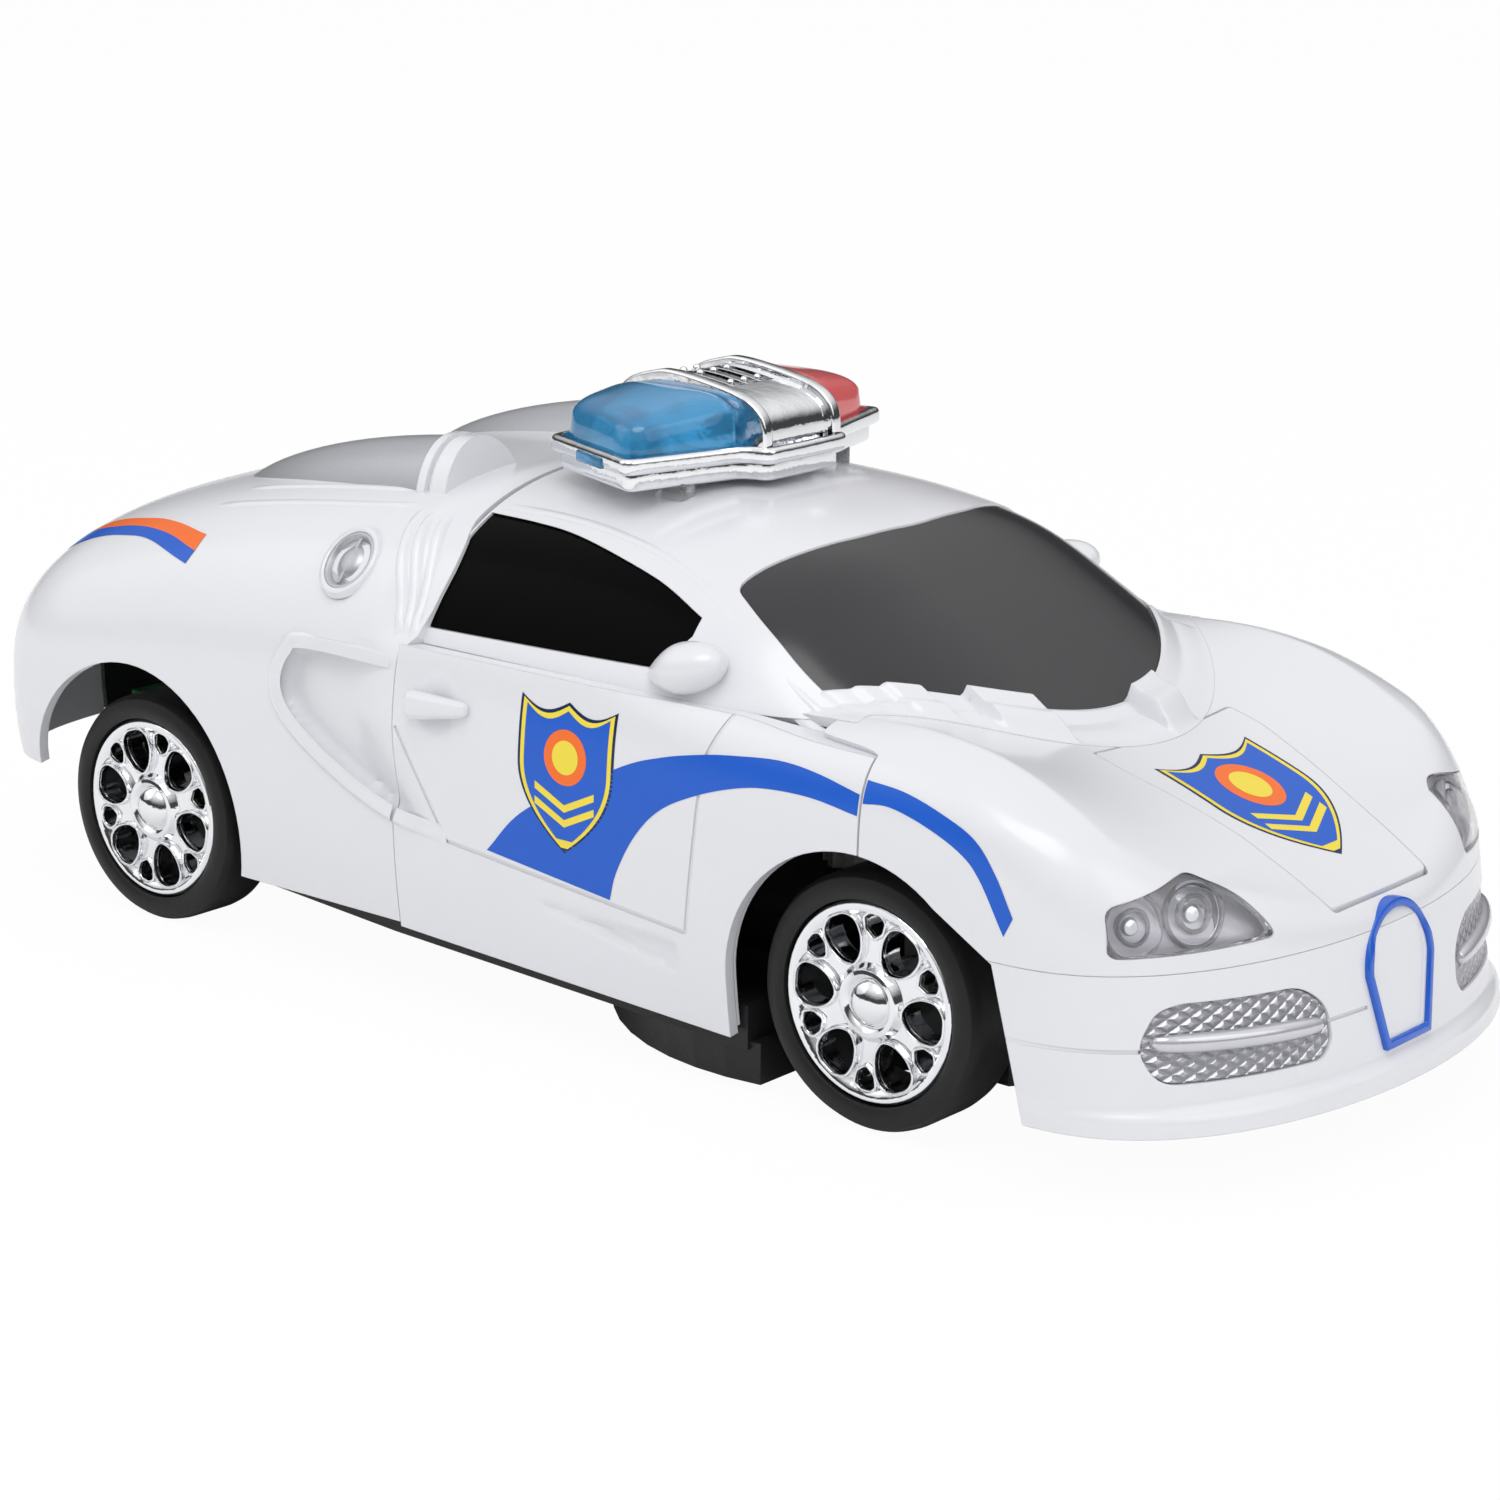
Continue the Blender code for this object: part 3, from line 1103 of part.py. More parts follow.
def make_chassis(toy):
    rear, front = TRAY_ENDS
    waist_rear, waist_front = TRAY_WAIST
    wide, neck = TRAY_HALF_WIDTH, TRAY_NECK_HALF
    tail = TRAY_TAIL_HALF
    half = [(rear, tail), (rear + neck - tail, neck), (waist_rear - 1, neck), (waist_rear, wide)]
    half += [(waist_front - 1, wide), (waist_front, neck), (front - 4, neck), (front, neck - 6)]
    plan = mirrored(half)
    tray = toy.add("chassis_tray", prism(plan, "z", FLOOR_Z, TRAY_TOP_Z), "black_plastic")
    pocket = prism(inset(plan, TRAY_WALL), "z", FLOOR_TOP_Z, TRAY_TOP_Z + TRAY_WALL)
    toy.boolean(tray, toy.cutter("tray_pocket", pocket))
    toy.boolean(tray, toy.cutter("tray_ribs", joined(*tray_ribs())), "UNION")
    bay_rear, bay_front, bay_half = BAY
    under, over = FLOOR_Z - FLOOR_THICKNESS, FLOOR_TOP_Z + FLOOR_THICKNESS
    holes = [box(bay_rear, bay_front, -bay_half, bay_half, under, LEVER_PIVOT[1])]
    hole = TURRET_DRUM_RADIUS + 2 * FIT
    holes.append(rod((TURRET_X, 0, under), (TURRET_X, 0, over), hole, 32))
    x, y = SWITCH_AT
    run, gap = SWITCH_STEM[0] + 2 * FIT, SWITCH_STEM[1] + FIT
    holes.append(box(x - run, x + run + SWITCH_TRAVEL, y - gap, y + gap, under, over))
    boss_top = FLOOR_TOP_Z + SCREW_LENGTH + BOSS_WALL
    holes.append(rod((SCREW_X, 0, under), (SCREW_X, 0, boss_top), SCREW_RADIUS + FIT, 12))
    for axle_x, axle_z in ((REAR_AXLE_X, REAR_AXLE_Z), (FRONT_AXLE_X, FRONT_AXLE_Z)):
        holes.append(rod((axle_x, -wide, axle_z), (axle_x, wide, axle_z), AXLE_RADIUS + FIT, 16))
    toy.boolean(tray, toy.cutter("tray_holes", joined(*holes)))
    well = rod((TURRET_X, 0, 0), (TURRET_X, 0, FLOOR_Z), TURRET_RADIUS + 2 * FIT, 40)
    toy.boolean(tray, toy.cutter("turret_well", well))


def tray_ribs():
    """What stands on the floor or its edge: bay walls, axle brackets, posts, shell tabs and a boss."""
    sunk = FLOOR_TOP_Z - 1
    bay_rear, bay_front, bay_half = BAY
    wall_top = FLOOR_Z + 2 * CELL_RADIUS + BAY_COVER
    out = BAY_WALL
    ribs = [box(bay_rear - out, bay_front + out, -bay_half - out, bay_half + out, sunk, wall_top)]
    along, across, rise = AXLE_BRACKET
    for x, z in ((REAR_AXLE_X, REAR_AXLE_Z), (FRONT_AXLE_X, FRONT_AXLE_Z)):
        for y in (-AXLE_BRACKET_Y, AXLE_BRACKET_Y):
            ribs.append(box(x - along, x + along, y - across, y + across, sunk, z + rise))
    for x in (BOARD[0] + 2 * BOARD_POST_RADIUS, BOARD[1] - 2 * BOARD_POST_RADIUS):
        for y in (-BOARD_POST_Y, BOARD_POST_Y):
            ribs.append(rod((x, y, sunk), (x, y, BOARD_Z - FIT), BOARD_POST_RADIUS, 10))
    rear, front, reach, low = TRAY_TAB
    for side in (-1, 1):
        stretch = sorted((side * (FLANGE_HALF_WIDTH - 1), side * reach))
        ribs.append(box(rear, front, *stretch, low, TRAY_TOP_Z))
        stretch = sorted((side * (TRAY_HALF_WIDTH - 1), side * FLANGE_HALF_WIDTH))
        ribs.append(prism(flange_outline(), "y", *stretch))
    for side in (-1, 1):
        ribs.append(drive_skirt(side))
    boss = SCREW_RADIUS + FIT + BOSS_WALL
    ribs.append(rod((SCREW_X, 0, sunk), (SCREW_X, 0, FLOOR_TOP_Z + SCREW_LENGTH), boss, 14))
    return ribs


def flange_outline():
    """The floor's side flange seen from the side: it shows as a strip below the sills."""
    rear, front = TRAY_WAIST
    (panel_rear, rear_z), (panel_front, front_z) = PANEL_BOTTOM
    low = [(rear, REAR_BOTTOM_Z - SILL_STRIP), (panel_rear, rear_z - SILL_STRIP)]
    low.append((panel_front, max(front_z - SILL_STRIP, FLOOR_Z)))
    return low + [(front, FLANGE_TOP_Z), (rear, FLANGE_TOP_Z)]


def drive_skirt(side):
    """The round bulge of the floor beside the turret, with its lower edge turned in."""
    inner = DOOR_HALF_WIDTH + FIT
    first, last = math.asin(inner / SKIRT_RADIUS), math.acos((SKIRT_FRONT_X - SKIRT_X) / SKIRT_RADIUS)
    steps, outline = 8, [(SKIRT_FRONT_X, side * inner)]
    for step in range(steps + 1):
        angle = mix(last, math.pi - first, step / steps)
        outline.append((SKIRT_X + SKIRT_RADIUS * math.cos(angle), side * SKIRT_RADIUS * math.sin(angle)))
    low, edge = SKIRT_Z
    bm = prism(outline, "z", low, FLOOR_Z + 1)
    for vert in bm.verts:
        if vert.co.z < edge:
            vert.co.x = mix(vert.co.x, TURRET_X, SKIRT_TURN_IN)
            vert.co.y = mix(vert.co.y, side * inner, SKIRT_TURN_IN)
    return bm


def make_power(toy):
    """The cells in their bay, the door and screw under them, the board and the speaker."""
    bay_rear, bay_front, _ = BAY
    middle, cell_z = (bay_rear + bay_front) / 2, FLOOR_Z + CELL_RADIUS
    for index in (-1, 0, 1):
        y = index * CELL_PITCH
        ends = [(middle + sign * CELL_LENGTH / 2, y, cell_z) for sign in (-1, 1)]
        toy.add(f"battery_cell_{index + 2}", rod(*ends, CELL_RADIUS, 18), "cell")
    top, half = FLOOR_Z - FIT, DOOR_HALF_WIDTH
    rear, front = bay_rear - DOOR_OVERLAP, SCREW_X + DOOR_OVERLAP
    outline = rounded([(rear, -half), (front, -half), (front, half), (rear, half)], DOOR_OVERLAP)
    door = toy.add("battery_door", prism(outline, "z", top - DOOR_THICKNESS, top), "black_plastic")
    head = top - DOOR_THICKNESS - FIT
    bore = rod((SCREW_X, 0, head), (SCREW_X, 0, FLOOR_Z), SCREW_RADIUS + FIT, 12)
    toy.boolean(door, toy.cutter("door_screw_bore", bore))
    low, edge = head - SCREW_HEAD_HEIGHT, SCREW_HEAD_RADIUS - 0.9
    profile = [(0, low), (edge, low), (SCREW_HEAD_RADIUS, head - 0.6), (SCREW_HEAD_RADIUS, head)]
    profile += [(SCREW_RADIUS, head), (SCREW_RADIUS, FLOOR_TOP_Z + SCREW_LENGTH - 1)]
    profile += [(0, FLOOR_TOP_Z + SCREW_LENGTH)]
    toy.turned("battery_door_screw", profile, 12, "steel", "toy", (SCREW_X, 0, 0))
    rear, front, half, thickness = BOARD
    board = box(rear, front, -half, half, BOARD_Z, BOARD_Z + thickness)
    toy.add("circuit_board", board, "board")
    base, cone = FLOOR_TOP_Z + FIT, 0.6
    profile = [(0, base), (SPEAKER_RADIUS, base), (SPEAKER_RADIUS, base + cone * SPEAKER_HEIGHT)]
    profile += [(cone * SPEAKER_RADIUS, base + SPEAKER_HEIGHT), (0, base + SPEAKER_HEIGHT)]
    toy.turned("speaker", profile, TURN_STEPS, "black_plastic", "toy", (SPEAKER_X, 0, 0))


def make_lift_drive(toy):
    """The gearbox over the battery bay, with lugs for the lever's pin, and the motor behind it."""
    rear, front, half = GEARBOX
    bay_half = BAY[2] + BAY_WALL
    base = FLOOR_Z + 2 * CELL_RADIUS + BAY_COVER + FIT
    plate_top = base + GEARBOX_BASE
    plate = box(rear, front, -bay_half, bay_half, base, plate_top)
    case = toy.add("lift_gearbox", plate, "black_plastic")
    behind, ahead, height = GEARBOX_TOWER
    tower_rear = rear + behind
    added = [box(tower_rear, front - ahead, -half, half, plate_top - 1, base + height)]
    pivot_x, pivot_z = LEVER_PIVOT
    inner = LEVER_HALF_WIDTH + FIT
    for side in (-1, 1):
        stretch = sorted((side * inner, side * (inner + LUG_WIDTH)))
        lug = (front - LUG_REACH, pivot_x + LUG_REACH, *stretch, plate_top - LUG_WIDTH, pivot_z + LUG_REACH)
        added.append(box(*lug))
    toy.boolean(case, toy.cutter("gearbox_tower_and_lugs", joined(*added)), "UNION")
    end = inner + LUG_WIDTH + 1
    pin = ((pivot_x, -end, pivot_z), (pivot_x, end, pivot_z))
    toy.boolean(case, toy.cutter("lever_bore", rod(*pin, LEVER_PIN_RADIUS + FIT, 16)))
    z, motor_front = base + MOTOR_RISE, tower_rear - FIT
    can = rod((motor_front - MOTOR_LENGTH, 0, z), (motor_front, 0, z), MOTOR_RADIUS, 20)
    motor = toy.add("lift_motor", can, "steel")
    seat = box(rear - FIT, front, -bay_half, bay_half, base - 1, plate_top + FIT)
    toy.boolean(motor, toy.cutter("motor_seat", seat))


def make_switch(toy):
    """The slide switch: a knob under the floor and a stem through its slot."""
    x, y = SWITCH_AT
    half, top = SWITCH_SIZE / 2, FLOOR_Z - FIT
    knob = box(x - half, x + half, y - half, y + half, top - SWITCH_HEIGHT, top)
    switch = toy.add("power_switch", knob, "gear_plastic", "switch")
    along, across, rise = SWITCH_STEM
    stem = box(x - along, x + along, y - across, y + across, top - 1, FLOOR_TOP_Z + rise)
    toy.boolean(switch, toy.cutter("switch_stem", stem), "UNION")


def make_lever(toy):
    """The lever that pushes the front half up: a bar with a round eye at each end."""
    start, end = Vector(LEVER_PIVOT), Vector(LEVER_TIP)
    ahead = (end - start).normalized()
    side = Vector((-ahead.y, ahead.x))
    outline = []
    for centre, first in ((start, math.pi / 2), (end, -math.pi / 2)):
        for step in range(9):
            angle = first + math.pi * step / 8
            outline.append(tuple(centre + LEVER_RADIUS * (math.cos(angle) * ahead + math.sin(angle) * side)))
    half = LEVER_HALF_WIDTH
    lever = toy.add("lift_lever", prism(outline, "y", -half, half), "gear_plastic", "lever")
    end = half + FIT + LUG_WIDTH
    pin = rod((start.x, -end, start.y), (start.x, end, start.y), LEVER_PIN_RADIUS, 12)
    toy.boolean(lever, toy.cutter("lever_pin", pin), "UNION")


def main():
    toy = Toy()
    make_joints(toy)
    cutters = make_shell_cutters(toy)
    make_chassis(toy)
    make_power(toy)
    make_lift_drive(toy)
    make_switch(toy)
    make_drive(toy)
    make_wheels(toy)
    make_rear(toy, cutters)
    make_lever(toy)
    make_robot(toy)
    make_cabin(toy, cutters)
    make_front(toy, cutters)
    make_light_bar(toy)
    make_arms(toy, cutters)


if __name__ == "__main__":
    main()
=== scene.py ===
"""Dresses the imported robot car: moulded shells, glazing, lamps, wheels, light bar and decals.

Sizes are in millimetres in the car's own axes, measured along X from the middle of
the wheelbase. Each mesh is moved to the frame's origin and scaled to metres as it is made.
"""

import json
import logging
import math
from dataclasses import dataclass, replace
from enum import Enum
from typing import Callable, Iterable, Sequence

import bmesh
import bpy
from bpy.types import Material, Node, NodeSocket, Object
from mathutils import Matrix, Vector


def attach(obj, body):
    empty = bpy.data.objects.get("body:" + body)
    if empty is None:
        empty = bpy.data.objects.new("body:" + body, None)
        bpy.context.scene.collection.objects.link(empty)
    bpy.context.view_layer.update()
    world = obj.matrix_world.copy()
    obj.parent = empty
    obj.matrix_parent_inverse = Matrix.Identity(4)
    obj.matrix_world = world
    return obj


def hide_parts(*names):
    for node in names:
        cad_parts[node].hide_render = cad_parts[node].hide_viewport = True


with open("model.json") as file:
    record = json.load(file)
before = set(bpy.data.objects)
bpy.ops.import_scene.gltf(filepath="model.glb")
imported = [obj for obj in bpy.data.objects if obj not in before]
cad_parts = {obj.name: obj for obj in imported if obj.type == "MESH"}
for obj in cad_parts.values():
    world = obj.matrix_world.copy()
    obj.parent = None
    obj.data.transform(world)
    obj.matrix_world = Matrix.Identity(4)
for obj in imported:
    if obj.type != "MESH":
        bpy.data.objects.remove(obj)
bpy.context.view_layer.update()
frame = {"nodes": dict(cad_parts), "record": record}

LOG = logging.getLogger("robot_car")
MM = 0.001
CENTRE_X = 7.539

Pair = tuple[float, float]
Point = Callable[[float, float], Vector]
Line = Sequence[Pair]
Triple = tuple[float, float, float]
Grid = tuple[int, int]
Form = bmesh.types.BMesh

# Cutters reach from well inside the body to well outside it.
ACROSS: Pair = (-62.0, 62.0)
LEFT_SIDE: Pair = (20.0, 62.0)
RIGHT_SIDE: Pair = (-62.0, -20.0)
UPWARD: Pair = (20.0, 100.0)
AHEAD: Pair = (92.0, 130.0)


class Slot(Enum):
    """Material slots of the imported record."""

    WHITE = "white_shell"
    BLACK = "black_plastic"
    GLAZING = "dark_glazing"
    SILVER = "silver_paint"
    CHROME = "chrome"
    TYRE = "tyre"
    BLUE_LENS = "blue_lens"
    RED_LENS = "red_lens"
    CLEAR = "clear_lens"
    BLUE = "blue_paint"
    ROBOT = "grey_robot"
    STEEL = "steel"
    BOARD = "board"
    CELL = "cell"
    GEAR = "gear_plastic"


class Texture(Enum):
    """Kinds of surface relief."""

    MOULDED = "moulded"
    FLAKE = "flake"
    DIAMOND = "diamond"


class Side(Enum):
    """The two sides of the car, with the sign of Y."""

    RIGHT = -1
    LEFT = 1

    @property
    def word(self) -> str:
        """The side's name in node and body names."""
        return self.name.lower()


def mix(low: float, high: float, share: float) -> float:
    """The value a share of the way from low to high."""
    return low + (high - low) * share


def ease(share: float) -> float:
    """A smooth step from 0 to 1, held level outside."""
    share = min(max(share, 0.0), 1.0)
    return share * share * (3 - 2 * share)


def crown(y: float, half_width: float, power: float) -> float:
    """Share of a section's height that is left at distance y from its middle."""
    return max(1 - abs(y / half_width) ** power, 0.0) ** (1 / power)


def bulge(turn: float, power: float) -> float:
    """What a sine and a cosine are divided by to lie on a section of some power."""
    return (math.sin(turn) ** power + math.cos(turn) ** power) ** (1 / power)


def curve(knots: Line, x: float) -> float:
    """Height of the smooth line through the knots, held level past its ends.

    Args:
        knots: Places along the line with their heights.
        x: The place asked for.

    Returns:
        The height there.
    """
    if x <= knots[0][0]:
        return knots[0][1]
    if x >= knots[-1][0]:
        return knots[-1][1]
    last = len(knots) - 1
    index = next(i for i in range(last) if x <= knots[i + 1][0])

    def slope(k: int) -> float:
        """Slope of the line at a knot."""
        before, after = max(k - 1, 0), min(k + 1, last)
        return (knots[after][1] - knots[before][1]) / (knots[after][0] - knots[before][0])

    (x0, z0), (x1, z1) = knots[index], knots[index + 1]
    span = x1 - x0
    t = (x - x0) / span
    start, end = slope(index) * span, slope(index + 1) * span
    rise = (2 * t**3 - 3 * t**2 + 1) * z0 + (3 * t**2 - 2 * t**3) * z1
    return rise + (t**3 - 2 * t**2 + t) * start + (t**3 - t**2) * end


def along(line: Line, share: float) -> Vector:
    """The point a share of the way along a line, by length."""
    points = [Vector(point) for point in line]
    steps = [(b - a).length for a, b in zip(points, points[1:])]
    left = share * sum(steps)
    for a, b, step in zip(points, points[1:], steps):
        if left <= step:
            return a.lerp(b, left / step)
        left -= step
    return points[-1]


def drawn(line: Line) -> list[Pair]:
    """The line drawn through its points without corners."""
    xs = [(float(index), point[0]) for index, point in enumerate(line)]
    zs = [(float(index), point[1]) for index, point in enumerate(line)]
    steps = 12
    return [(curve(xs, step / steps), curve(zs, step / steps)) for step in range(steps * (len(line) - 1) + 1)]


def edge_distance(line: Line, x: float, z: float) -> float:
    """Distance from a point to an open line."""
    here, best = Vector((x, z)), 1e9
    for a, b in zip(line, line[1:]):
        start, run = Vector(a), Vector(b) - Vector(a)
        share = min(max((here - start).dot(run) / run.length_squared, 0.0), 1.0)
        best = min(best, (here - start - share * run).length)
    return best


def inside(outline: Line, x: float, z: float) -> bool:
    """Whether a point lies inside a closed outline."""
    odd = False
    for (ax, az), (bx, bz) in zip(outline, list(outline[1:]) + [outline[0]]):
        if (az > z) != (bz > z) and x < mix(ax, bx, (z - az) / (bz - az)):
            odd = not odd
    return odd


def rounded(corners: Line, radius: float, steps: int = 5) -> list[Pair]:
    """The outline with each corner turned by a curve that starts a radius away from it."""
    outline: list[Pair] = []
    for index, corner in enumerate(corners):
        here = Vector(corner)
        before = Vector(corners[index - 1]) - here
        after = Vector(corners[(index + 1) % len(corners)]) - here
        reach = min(radius, before.length / 2.2, after.length / 2.2)
        start, end = here + before.normalized() * reach, here + after.normalized() * reach
        for step in range(steps + 1):
            t = step / steps
            outline.append(tuple((1 - t) ** 2 * start + 2 * t * (1 - t) * here + t * t * end))
    return outline


def inset(corners: Line, distance: float) -> list[Pair]:
    """The outline moved inwards by a distance, or outwards where that is negative."""
    loop = list(corners)
    area = sum(a[0] * b[1] - a[1] * b[0] for a, b in zip(loop, loop[1:] + loop[:1]))
    turn = 1 if area > 0 else -1
    outline: list[Pair] = []
    for index, corner in enumerate(loop):
        here = Vector(corner)
        back = (here - Vector(loop[index - 1])).normalized()
        ahead = (Vector(loop[(index + 1) % len(loop)]) - here).normalized()
        normal = Vector((-back.y - ahead.y, back.x + ahead.x))
        normal *= 2 / max(normal.length_squared, 0.4)
        outline.append(tuple(here + turn * distance * normal))
    return outline


def beside(line: Line, share: float, away: float, step: float = 0.02) -> Vector:
    """The point at a distance to the left of a line, a share of the way along it."""
    run = along(line, min(share + step, 1.0)) - along(line, max(share - step, 0.0))
    return along(line, share) + Vector((-run.y, run.x)).normalized() * away


def halved(share: float) -> tuple[int, float]:
    """The side of the car that a share across it falls on, and its distance from the middle."""
    return (1 if share > 0.5 else -1), abs(2 * share - 1)


def mirrored(half: Line) -> list[Pair]:
    """A closed outline from its half at positive Y, given as (x, y)."""
    return list(half) + [(x, -y) for x, y in reversed(half) if y > 0]


def outward(bm: Form) -> Form:
    """The form with its normals turned outward."""
    bmesh.ops.recalc_face_normals(bm, faces=bm.faces[:])
    return bm


def welded(bm: Form, distance: float = 0.001) -> Form:
    """The form with points that coincide made one, and its normals outward."""
    bmesh.ops.remove_doubles(bm, verts=bm.verts[:], dist=distance)
    return outward(bm)


def capped(bm: Form) -> Form:
    """The form with its holes filled."""
    bmesh.ops.holes_fill(bm, edges=[edge for edge in bm.edges if edge.is_boundary])
    return bm


def raised(bm: Form, faces: Sequence[bmesh.types.BMFace], axis: str, height: float) -> Form:
    """The form with some of its faces drawn out along an axis.

    Args:
        bm: The form.
        faces: The faces that are drawn out.
        axis: The axis, x, y or z.
        height: How far they go along it.

    Returns:
        The closed form, with its normals outward.
    """
    grown = bmesh.ops.extrude_face_region(bm, geom=faces)["geom"]
    verts = [item for item in grown if isinstance(item, bmesh.types.BMVert)]
    bmesh.ops.translate(bm, vec=[height * (axis == name) for name in "xyz"], verts=verts)
    return outward(bm)


def laid(bm: Form, outline: Line, axis: str, level: float) -> list[bmesh.types.BMVert]:
    """The outline's corners on a level across an axis."""
    verts = []
    for a, b in outline:
        place = {"x": (level, a, b), "y": (a, level, b), "z": (a, b, level)}[axis]
        verts.append(bm.verts.new(place))
    return verts


def prism(outline: Line, axis: str, low: float, high: float) -> Form:
    """The outline drawn out along an axis.

    Args:
        outline: Corners seen along the axis.
        axis: The axis, x, y or z.
        low: Where the form starts on it.
        high: Where it ends.

    Returns:
        A closed mesh.
    """
    bm = bmesh.new()
    return raised(bm, [bm.faces.new(laid(bm, outline, axis, low))], axis, high - low)


def ring(outer: Line, inner: Line, axis: str, low: float, high: float) -> Form:
    """A frame between two outlines of as many corners, drawn out along an axis."""
    bm = bmesh.new()
    edges = []
    for line in (outer, inner):
        verts = laid(bm, line, axis, low)
        edges += [bm.edges.new(pair) for pair in zip(verts, verts[1:] + verts[:1])]
    return raised(bm, bmesh.ops.bridge_loops(bm, edges=edges)["faces"], axis, high - low)


def box(x: Pair, y: Pair, z: Pair) -> Form:
    """A block between two corners."""
    bm = bmesh.new()
    spans = (x, y, z)
    middle = Matrix.Translation([sum(span) / 2 for span in spans])
    size = Matrix.Diagonal([span[1] - span[0] for span in spans] + [1])
    bmesh.ops.create_cube(bm, size=1, matrix=middle @ size)
    return bm


def rod(start: Sequence[float], end: Sequence[float], radius: float, segments: int = 32) -> Form:
    """A round bar between two points."""
    first, last = Vector(start), Vector(end)
    turn = Vector((0, 0, 1)).rotation_difference(last - first).to_matrix().to_4x4()
    bm = bmesh.new()
    matrix = Matrix.Translation((first + last) / 2) @ turn
    depth = (last - first).length
    bmesh.ops.create_cone(
        bm, cap_ends=True, segments=segments, radius1=radius, radius2=radius, depth=depth, matrix=matrix
    )
    return bm


def ball(radii: Sequence[float], segments: int = 40, rings: int = 24) -> Form:
    """An ellipsoid about the origin."""
    bm = bmesh.new()
    bmesh.ops.create_uvsphere(
        bm, u_segments=segments, v_segments=rings, radius=1, matrix=Matrix.Diagonal((*radii, 1))
    )
    return bm


def spun(profile: Line, steps: int) -> Form:
    """A turned form about the Y axis, from its profile as (radius, place on Y)."""
    bm = bmesh.new()
    verts = [bm.verts.new((radius, y, 0)) for radius, y in profile]
    edges = [bm.edges.new(pair) for pair in zip(verts, verts[1:])]
    bmesh.ops.spin(
        bm, geom=verts + edges, cent=(0, 0, 0), axis=(0, 1, 0), angle=2 * math.pi, steps=steps, use_merge=True
    )
    return welded(bm, 0.0001)


def joined(pieces: Iterable[Form]) -> Form:
    """One mesh that holds several separate forms."""
    whole = bmesh.new()
    for piece in pieces:
        mesh = bpy.data.meshes.new("form")
        piece.to_mesh(mesh)
        piece.free()
        whole.from_mesh(mesh)
        bpy.data.meshes.remove(mesh)
    return whole


def surface(point: Point, columns: int, rows: int) -> Form:
    """An open grid laid on a surface that is given as a function of two shares."""
    bm = bmesh.new()
    bmesh.ops.create_grid(bm, x_segments=columns, y_segments=rows, size=1)
    for vert in bm.verts:
        vert.co = point((vert.co.x + 1) / 2, (vert.co.y + 1) / 2)
    return bm


def facing(bm: Form, axis: str) -> Form:
    """The open form with its normals turned towards an axis."""
    if sum(getattr(face.normal, axis) for face in outward(bm).faces) < 0:
        bmesh.ops.reverse_faces(bm, faces=bm.faces[:])
    return bm


def softened(bm: Form, width: float, segments: int = 3, angle: float = 40) -> Form:
    """The form with its sharp edges rounded."""
    limit = math.radians(angle)
    sharp = [edge for edge in bm.edges if edge.calc_face_angle(0.0) > limit]
    bmesh.ops.bevel(
        bm, geom=sharp, offset=width, segments=segments, profile=0.5, affect="EDGES", material=-1,
        clamp_overlap=True,
    )
    return bm


def moved(bm: Form, matrix: Matrix) -> Form:
    """The form turned and shifted by a matrix."""
    bmesh.ops.transform(bm, matrix=matrix, verts=bm.verts[:])
    return bm


def placed(name: str, bm: Form) -> Object:
    """An object of the scene from a form."""
    mesh = bpy.data.meshes.new(name)
    bm.to_mesh(mesh)
    bm.free()
    made = bpy.data.objects.new(name, mesh)
    bpy.context.scene.collection.objects.link(made)
    return made


class Value:
    """A shader socket that works in plain arithmetic."""

    def __init__(self, shader: "Shader", socket: NodeSocket) -> None:
        """Wraps a socket of a shader."""
        self.shader = shader
        self.socket = socket

    def math(self, operation: str, *others: "Value | float") -> "Value":
        """The result of a Math node on this value and others."""
        made = self.shader.node("ShaderNodeMath", {"operation": operation}, [self, *others])
        return Value(self.shader, made.outputs[0])

    def __add__(self, other: "Value | float") -> "Value":
        """Sum."""
        return self.math("ADD", other)

    def __sub__(self, other: "Value | float") -> "Value":
        """Difference."""
        return self.math("SUBTRACT", other)

    def __mul__(self, other: "Value | float") -> "Value":
        """Product."""
        return self.math("MULTIPLY", other)

    def __truediv__(self, other: "Value | float") -> "Value":
        """Quotient."""
        return self.math("DIVIDE", other)


class Shader:
    """A node tree under construction."""

    def __init__(self, owner: Material | bpy.types.World) -> None:
        """Starts on the tree of a material or a world."""
        owner.use_nodes = True
        self.tree = owner.node_tree

    def node(self, kind: str, settings: dict | None = None, inputs: dict | list | None = None) -> Node:
        """A new node.

        Args:
            kind: Its type.
            settings: Its properties.
            inputs: Values, numbers or sockets by input name or in order.

        Returns:
            The node.
        """
        made = self.tree.nodes.new(kind)
        for name, value in (settings or {}).items():
            setattr(made, name, value)
        pairs = inputs.items() if isinstance(inputs, dict) else enumerate(inputs or [])
        for key, value in pairs:
            self.feed(made.inputs[key], value)
        return made

    def feed(self, socket: NodeSocket, value: object) -> None:
        """Links a value or socket to an input, or sets its number."""
        if isinstance(value, Value):
            self.tree.links.new(value.socket, socket)
        elif isinstance(value, NodeSocket):
            self.tree.links.new(value, socket)
        else:
            socket.default_value = value

    def noise(self, coordinates: NodeSocket, scale: float, detail: float = 3.0) -> Value:
        """Noise of a scale, as a value about one half."""
        made = self.node(
            "ShaderNodeTexNoise", None, {"Vector": coordinates, "Scale": scale, "Detail": detail}
        )
        return Value(self, made.outputs["Fac"])

    def rays(self, *names: str) -> Value:
        """Whether a ray is of one of the kinds named."""
        path = self.node("ShaderNodeLightPath").outputs
        kinds = [Value(self, path[name]) for name in names]
        found = kinds[0]
        for kind in kinds[1:]:
            found = found.math("MAXIMUM", kind)
        return found


